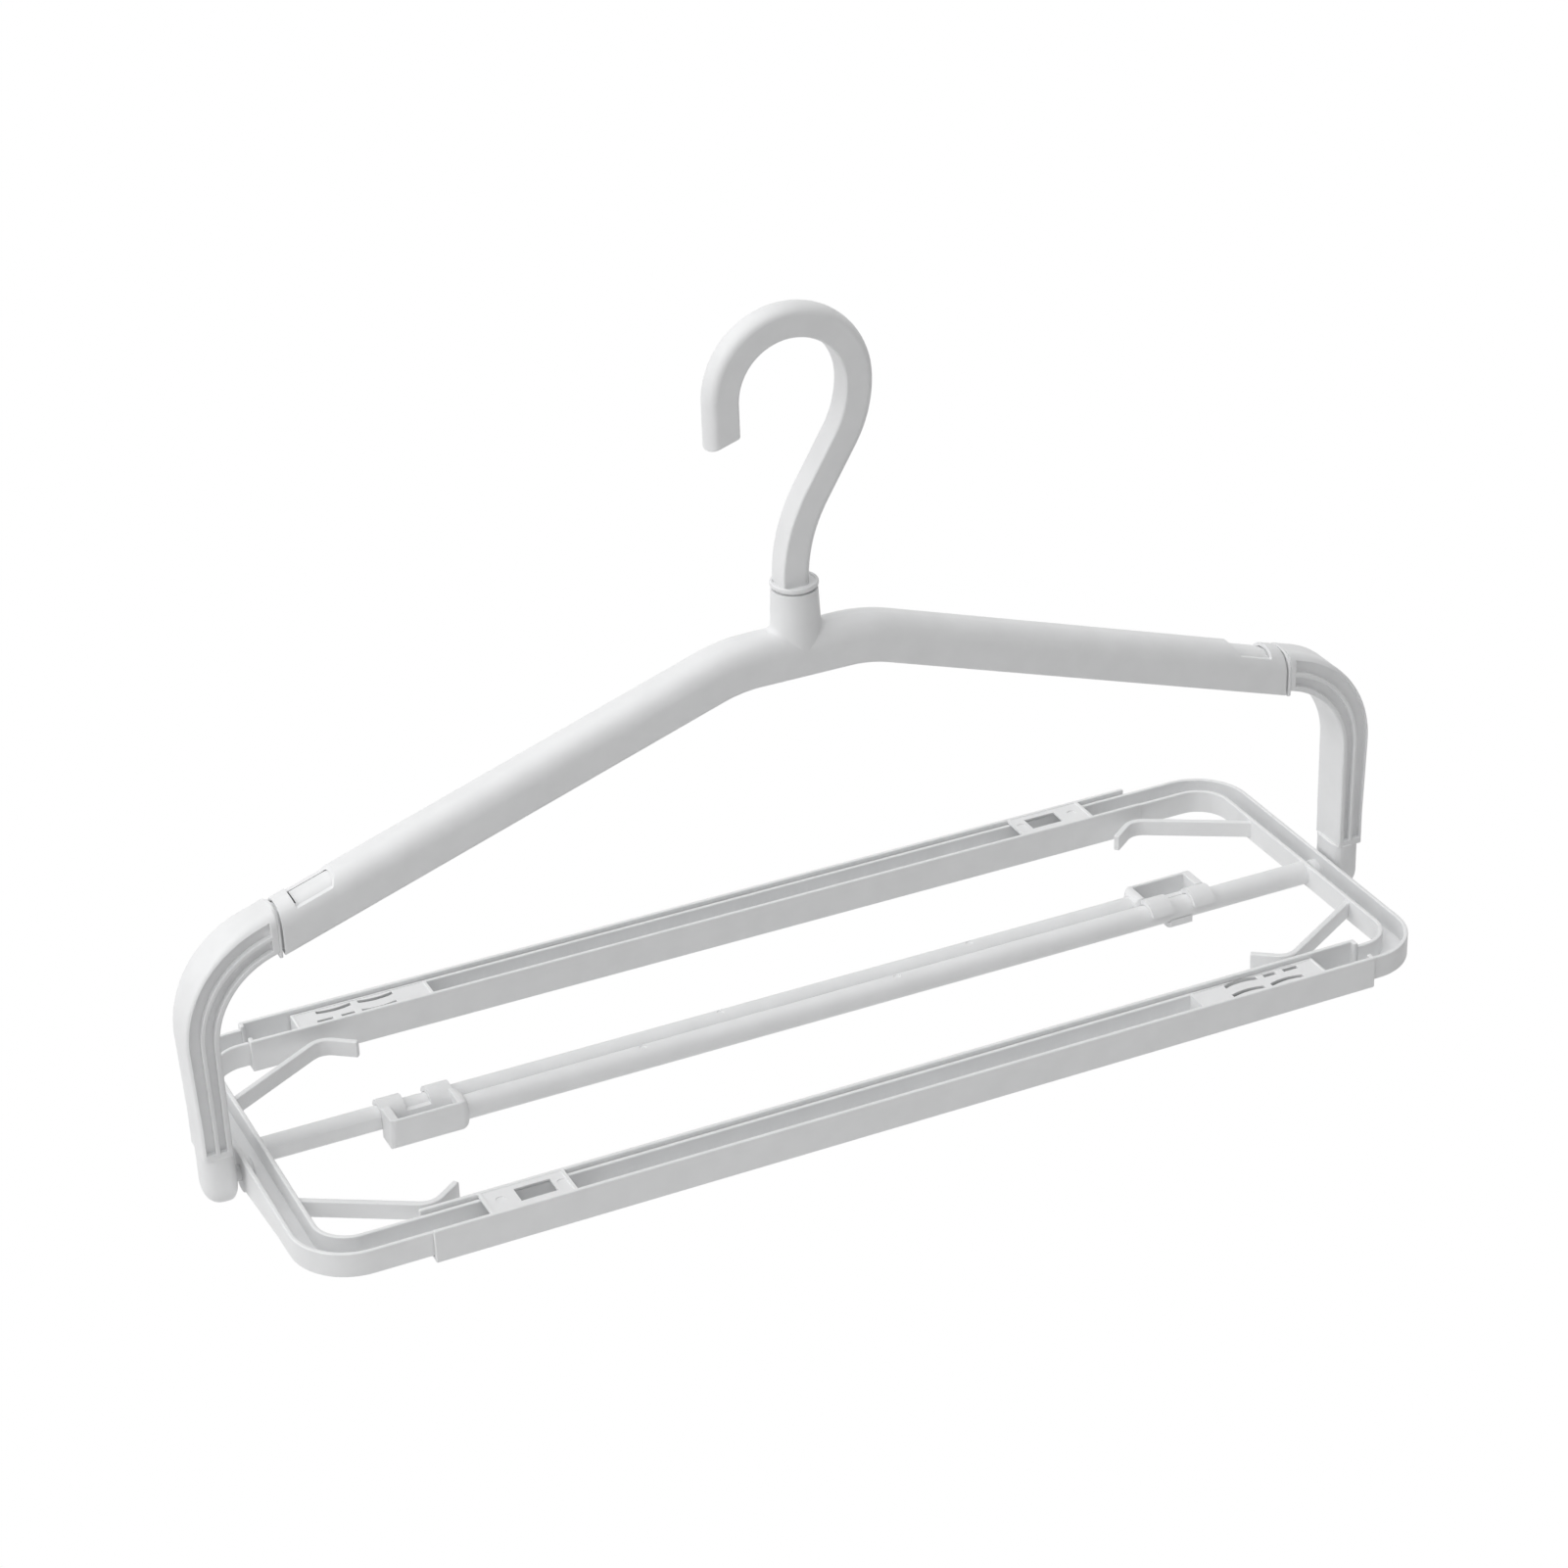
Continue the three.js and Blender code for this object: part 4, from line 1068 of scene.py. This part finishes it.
def rod_clamp():
    """Clamp on the rod's tip: a box with a pocket, and the holder beside it."""
    low = -CLAMP_HEIGHT
    edge = CLAMP_EDGE_RADIUS
    box_outline = [
        (-ROD_GAP, 0),
        (-ROD_GAP, low),
        *arc(CLAMP_REACH - edge, low + edge, edge, 3 * QUARTER, 4 * QUARTER, 2 * CORNER_STEPS),
        *arc(CLAMP_REACH - EDGE, -EDGE, EDGE, 0, QUARTER, CORNER_STEPS),
    ]
    body = prism(box_outline, clamp_start_x, clamp_end_x, side)
    keep(body, prism(clamp_plan(), low - CUT_OVERRUN, CUT_OVERRUN, plan))
    join(body, fairing(box_outline))
    inner_x, inner_y = clamp_start_x + CLAMP_WALL, CLAMP_REACH - CLAMP_WALL
    cut(body, box(
        inner_x, clamp_end_x - CLAMP_END_WALL,
        -ROD_GAP - CUT_OVERRUN, inner_y,
        -CLAMP_POCKET_DEPTH, CUT_OVERRUN,
    ))
    round_edges(body, EDGE, lambda m: m.z > -WELD and m.x > inner_x - WELD and m.y < inner_y + WELD)
    join(body, clamp_holder())
    return clean(cut(body, prism(
        rod_outline(-1, CLAMP_CLEARANCE),
        clamp_start_x - CLAMP_FAIRING - CUT_OVERRUN, clamp_end_x + CUT_OVERRUN, side,
    )))


def finger(direction):
    """Bent strip that leans from the bow's short side towards the rail."""
    root_x = BOW_SHORT_WIDTH - frame_half_length
    bend = Vector((root_x + FINGER_SPAN, sleeve_inner - FINGER_RAIL_GAP))
    root_y = bend.y - FINGER_RISE
    slope = FINGER_RISE / FINGER_SPAN
    before = bend + Vector((-FINGER_SPAN, -FINGER_RISE)).normalized() * FINGER_BEND_RADIUS
    after = bend + Vector((FINGER_TIP_SPAN, -FINGER_TIP_FALL)).normalized() * FINGER_BEND_RADIUS
    line = [Vector((root_x - FINGER_THICKNESS, root_y - FINGER_THICKNESS * slope))]
    for i in range(FINGER_STEPS + 1):
        t = i / FINGER_STEPS
        line.append(before * (1 - t) ** 2 + bend * (2 * t * (1 - t)) + after * t ** 2)
    line.append(bend + Vector((FINGER_TIP_SPAN, -FINGER_TIP_FALL)))
    left, right = [], []
    for i, point in enumerate(line):
        along = (line[min(i + 1, len(line) - 1)] - line[max(i - 1, 0)]).normalized()
        across = Vector((-along.y, along.x)) * (FINGER_THICKNESS / 2)
        left.append((point.x + across.x, direction * (point.y + across.y)))
        right.append((point.x - across.x, direction * (point.y - across.y)))
    body = prism(left + right[::-1], -FINGER_DROP - FINGER_HEIGHT, -FINGER_DROP, plan)
    keep(body, box(root_x, 0, -FRAME_HALF_DEPTH, FRAME_HALF_DEPTH, -SLEEVE_HEIGHT, 0))
    return round_edges(body, EDGE, lambda m: m.x > root_x + WELD)


# Materials

WHITE = (0.84, 0.845, 0.85)
PLASTIC_IOR = 1.49
PLASTIC_SPECULAR = 0.45
CLOUD_SCALE = 90
CLOUD_DETAIL = 3
CLOUD_SHADE = 0.96
CLOUD_LOW = 0.3
CLOUD_HIGH = 0.7
GLOSS_SCALE = 160
GLOSS_DETAIL = 4
GLOSS_OFFSET = 3
ROUGHNESS_LOW = 0.34
ROUGHNESS_HIGH = 0.48
GRAIN_SCALE = 1400
GRAIN_DETAIL = 2
GRAIN_OFFSET = 7
GRAIN_STRENGTH = 0.06
GRAIN_HEIGHT = 0.0002


def polypropylene(name, colour, seed):
    """Satin white plastic: a faint cloudiness, uneven gloss and a fine moulded skin."""
    material = bpy.data.materials.new(name)
    material.use_nodes = True
    tree = material.node_tree
    shader = tree.nodes["Principled BSDF"]
    shader.inputs["IOR"].default_value = PLASTIC_IOR
    shader.inputs["Specular IOR Level"].default_value = PLASTIC_SPECULAR
    place = tree.nodes.new("ShaderNodeTexCoord")

    def noise(scale, detail, offset):
        shift = tree.nodes.new("ShaderNodeMapping")
        shift.inputs["Location"].default_value = (offset, offset / 2, offset / 3)
        field = tree.nodes.new("ShaderNodeTexNoise")
        field.inputs["Scale"].default_value = scale
        field.inputs["Detail"].default_value = detail
        tree.links.new(place.outputs["Object"], shift.inputs["Vector"])
        tree.links.new(shift.outputs["Vector"], field.inputs["Vector"])
        return field

    cloud = noise(CLOUD_SCALE, CLOUD_DETAIL, seed)
    ramp = tree.nodes.new("ShaderNodeValToRGB")
    ramp.color_ramp.elements[0].position = CLOUD_LOW
    ramp.color_ramp.elements[0].color = (*(c * CLOUD_SHADE for c in colour), 1)
    ramp.color_ramp.elements[1].position = CLOUD_HIGH
    ramp.color_ramp.elements[1].color = (*colour, 1)
    tree.links.new(cloud.outputs["Fac"], ramp.inputs["Fac"])
    tree.links.new(ramp.outputs["Color"], shader.inputs["Base Color"])
    gloss = noise(GLOSS_SCALE, GLOSS_DETAIL, seed + GLOSS_OFFSET)
    spread = tree.nodes.new("ShaderNodeMapRange")
    spread.inputs["To Min"].default_value = ROUGHNESS_LOW
    spread.inputs["To Max"].default_value = ROUGHNESS_HIGH
    tree.links.new(gloss.outputs["Fac"], spread.inputs["Value"])
    tree.links.new(spread.outputs["Result"], shader.inputs["Roughness"])
    grain = noise(GRAIN_SCALE, GRAIN_DETAIL, seed + GRAIN_OFFSET)
    bump = tree.nodes.new("ShaderNodeBump")
    bump.inputs["Strength"].default_value = GRAIN_STRENGTH
    bump.inputs["Distance"].default_value = GRAIN_HEIGHT
    tree.links.new(grain.outputs["Fac"], bump.inputs["Height"])
    tree.links.new(bump.outputs["Normal"], shader.inputs["Normal"])
    return material


materials = {
    slot: polypropylene(slot.replace("plastic", "polypropylene"), WHITE, seed)
    for seed, slot in enumerate(("hook_plastic", "hanger_plastic", "frame_plastic"), 1)
}


# Assembly

bodies = frame["record"]["behaviour"]["bodies"]
body_of = {node: body for body, nodes in bodies.items() for node in nodes}
slot_of = {row["node"]: row["material_slot"] for row in frame["record"]["subparts"]}


def fit(node, obj, place):
    """Names a piece, takes it to its place in metres, smooths it and binds it to its node."""
    obj.data.transform(Matrix.Scale(MILLIMETRE, 4) @ place)
    obj.name = node + "_moulding"
    obj.data.name = obj.name
    obj.data.shade_smooth()
    obj.data.set_sharp_from_angle(angle=SMOOTH_ANGLE)
    even = obj.modifiers.new("normals", "WEIGHTED_NORMAL")
    even.keep_sharp = True
    obj.data.materials.clear()
    obj.data.materials.append(materials[slot_of[node]])
    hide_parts(node)
    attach(obj, body_of[node])


as_made = Matrix()
half_turn = Matrix.Rotation(math.pi, 4, "Z")
level = Matrix.Translation((0, 0, frame_top_z))
fit("hook", hook(), as_made)
fit("beam", beam(), as_made)
for name, place in (("right", as_made), ("left", half_turn)):
    fit(name + "_arm", arm(), place)
    fit(name + "_pivot_pin", pivot_pin(), place)
for name, place, near, far in (
    ("left", level, "near", "far"),
    ("right", level @ half_turn, "far", "near"),
):
    fit(name + "_bow", bow(), place)
    fit(name + "_sleeve_rail", sleeve(), place)
    fit(name + "_rail_tip", rail_tip(), place)
    fit(name + "_centre_rod", centre_rod(), place)
    fit(name + "_rod_clamp", rod_clamp(), place)
    fit(f"{name}_{near}_finger", finger(-1), place)
    fit(f"{name}_{far}_finger", finger(1), place)


# Floor, light and camera, in metres

AMBIENT = 0.28
KEY_STRENGTH = 2.0
KEY_SPREAD = math.radians(90)
KEY_DIRECTION = (-0.4, 0.05, 0.9)
SIDE_STRENGTH = 0.85
SIDE_SPREAD = math.radians(60)
SIDE_DIRECTION = (-1, 0, 0.1)
FILL_POWER = 0.5
FILL_SIZE = 0.5
FILL_PLACE = (-0.15, -0.45, -0.65)
FILL_TARGET = (0, 0, -0.28)
FLOOR_COLOUR = (0.56, 0.56, 0.56, 1)
FLOOR_HALF_SIZE = 6.0
FLOOR_LEVEL = -0.9
CAMERA_PLACE = (-0.525229, -1.158058, 0.508404)
CAMERA_AZIMUTH = math.radians(-24.0956)
CAMERA_ELEVATION = math.radians(28.5692)
CAMERA_ROLL = math.radians(-2.2553)
FOCAL_PIXELS = 3863.4
PHOTO_PIXELS = 1601
SENSOR_WIDTH = 36
CLIP_START = 0.05
CLIP_END = 50


def seen_directly(tree):
    """One for camera rays, reflections and rays through glass, and zero for the light itself."""
    path = tree.nodes.new("ShaderNodeLightPath")
    total = path.outputs["Is Camera Ray"]
    for kind in ("Is Glossy Ray", "Is Transmission Ray"):
        either = tree.nodes.new("ShaderNodeMath")
        either.operation = "MAXIMUM"
        tree.links.new(total, either.inputs[0])
        tree.links.new(path.outputs[kind], either.inputs[1])
        total = either.outputs["Value"]
    return total


def studio_world():
    """Soft light from all round, seen as plain white by the camera."""
    world = bpy.data.worlds.new("studio")
    scene.world = world
    world.use_nodes = True
    tree = world.node_tree
    tree.nodes.clear()
    output = tree.nodes.new("ShaderNodeOutputWorld")
    mix = tree.nodes.new("ShaderNodeMixShader")
    lit = tree.nodes.new("ShaderNodeBackground")
    seen = tree.nodes.new("ShaderNodeBackground")
    for background, strength in ((lit, AMBIENT), (seen, 1.0)):
        background.inputs["Color"].default_value = (1, 1, 1, 1)
        background.inputs["Strength"].default_value = strength
    tree.links.new(seen_directly(tree), mix.inputs["Fac"])
    tree.links.new(lit.outputs["Background"], mix.inputs[1])
    tree.links.new(seen.outputs["Background"], mix.inputs[2])
    tree.links.new(mix.outputs["Shader"], output.inputs["Surface"])


def light(name, kind, strength, direction):
    """Light that comes from the given direction."""
    data = bpy.data.lights.new(name, kind)
    data.energy = strength
    lamp = bpy.data.objects.new(name, data)
    scene.collection.objects.link(lamp)
    lamp.rotation_euler = Vector(direction).to_track_quat("Z", "Y").to_euler()
    return lamp


def studio_lights():
    """Broad light from above, a weaker one from the left, and a panel below the frame."""
    light("key", "SUN", KEY_STRENGTH, KEY_DIRECTION).data.angle = KEY_SPREAD
    light("side", "SUN", SIDE_STRENGTH, SIDE_DIRECTION).data.angle = SIDE_SPREAD
    fill = light("fill", "AREA", FILL_POWER, Vector(FILL_PLACE) - Vector(FILL_TARGET))
    fill.data.size = FILL_SIZE
    fill.location = FILL_PLACE
    fill.visible_camera = False


def studio_floor():
    """Pale floor far below the hanging part, white to the camera."""
    material = bpy.data.materials.new("floor")
    material.use_nodes = True
    tree = material.node_tree
    shader = tree.nodes["Principled BSDF"]
    shader.inputs["Base Color"].default_value = FLOOR_COLOUR
    shader.inputs["Roughness"].default_value = 1.0
    shader.inputs["Specular IOR Level"].default_value = 0.0
    glow = tree.nodes.new("ShaderNodeEmission")
    mix = tree.nodes.new("ShaderNodeMixShader")
    tree.links.new(seen_directly(tree), mix.inputs["Fac"])
    tree.links.new(shader.outputs["BSDF"], mix.inputs[1])
    tree.links.new(glow.outputs["Emission"], mix.inputs[2])
    tree.links.new(mix.outputs["Shader"], tree.nodes["Material Output"].inputs["Surface"])
    half = FLOOR_HALF_SIZE
    outline = ((-half, -half), (half, -half), (half, half), (-half, half))
    mesh = bpy.data.meshes.new("floor")
    mesh.from_pydata([(x, y, FLOOR_LEVEL) for x, y in outline], [], [(0, 1, 2, 3)])
    mesh.materials.append(material)
    floor = bpy.data.objects.new("floor", mesh)
    scene.collection.objects.link(floor)


def photo_camera():
    """Camera of the photograph, found from the frame's straight lines and the outlines."""
    azimuth, elevation, roll = CAMERA_AZIMUTH, CAMERA_ELEVATION, CAMERA_ROLL
    data = bpy.data.cameras.new("camera")
    data.sensor_width = SENSOR_WIDTH
    data.lens = SENSOR_WIDTH * FOCAL_PIXELS / PHOTO_PIXELS
    data.clip_start = CLIP_START
    data.clip_end = CLIP_END
    camera = bpy.data.objects.new("camera", data)
    scene.collection.objects.link(camera)
    back = Vector((
        math.sin(azimuth) * math.cos(elevation),
        -math.cos(azimuth) * math.cos(elevation),
        math.sin(elevation),
    ))
    level = Vector((math.cos(azimuth), math.sin(azimuth), 0))
    upright = back.cross(level)
    across = level * math.cos(roll) + upright * math.sin(roll)
    up = upright * math.cos(roll) - level * math.sin(roll)
    turn = Matrix((across, up, back)).transposed().to_4x4()
    turn.translation = CAMERA_PLACE
    camera.matrix_world = turn
    scene.camera = camera


studio_world()
studio_lights()
studio_floor()
photo_camera()
scene.view_settings.view_transform = "Standard"
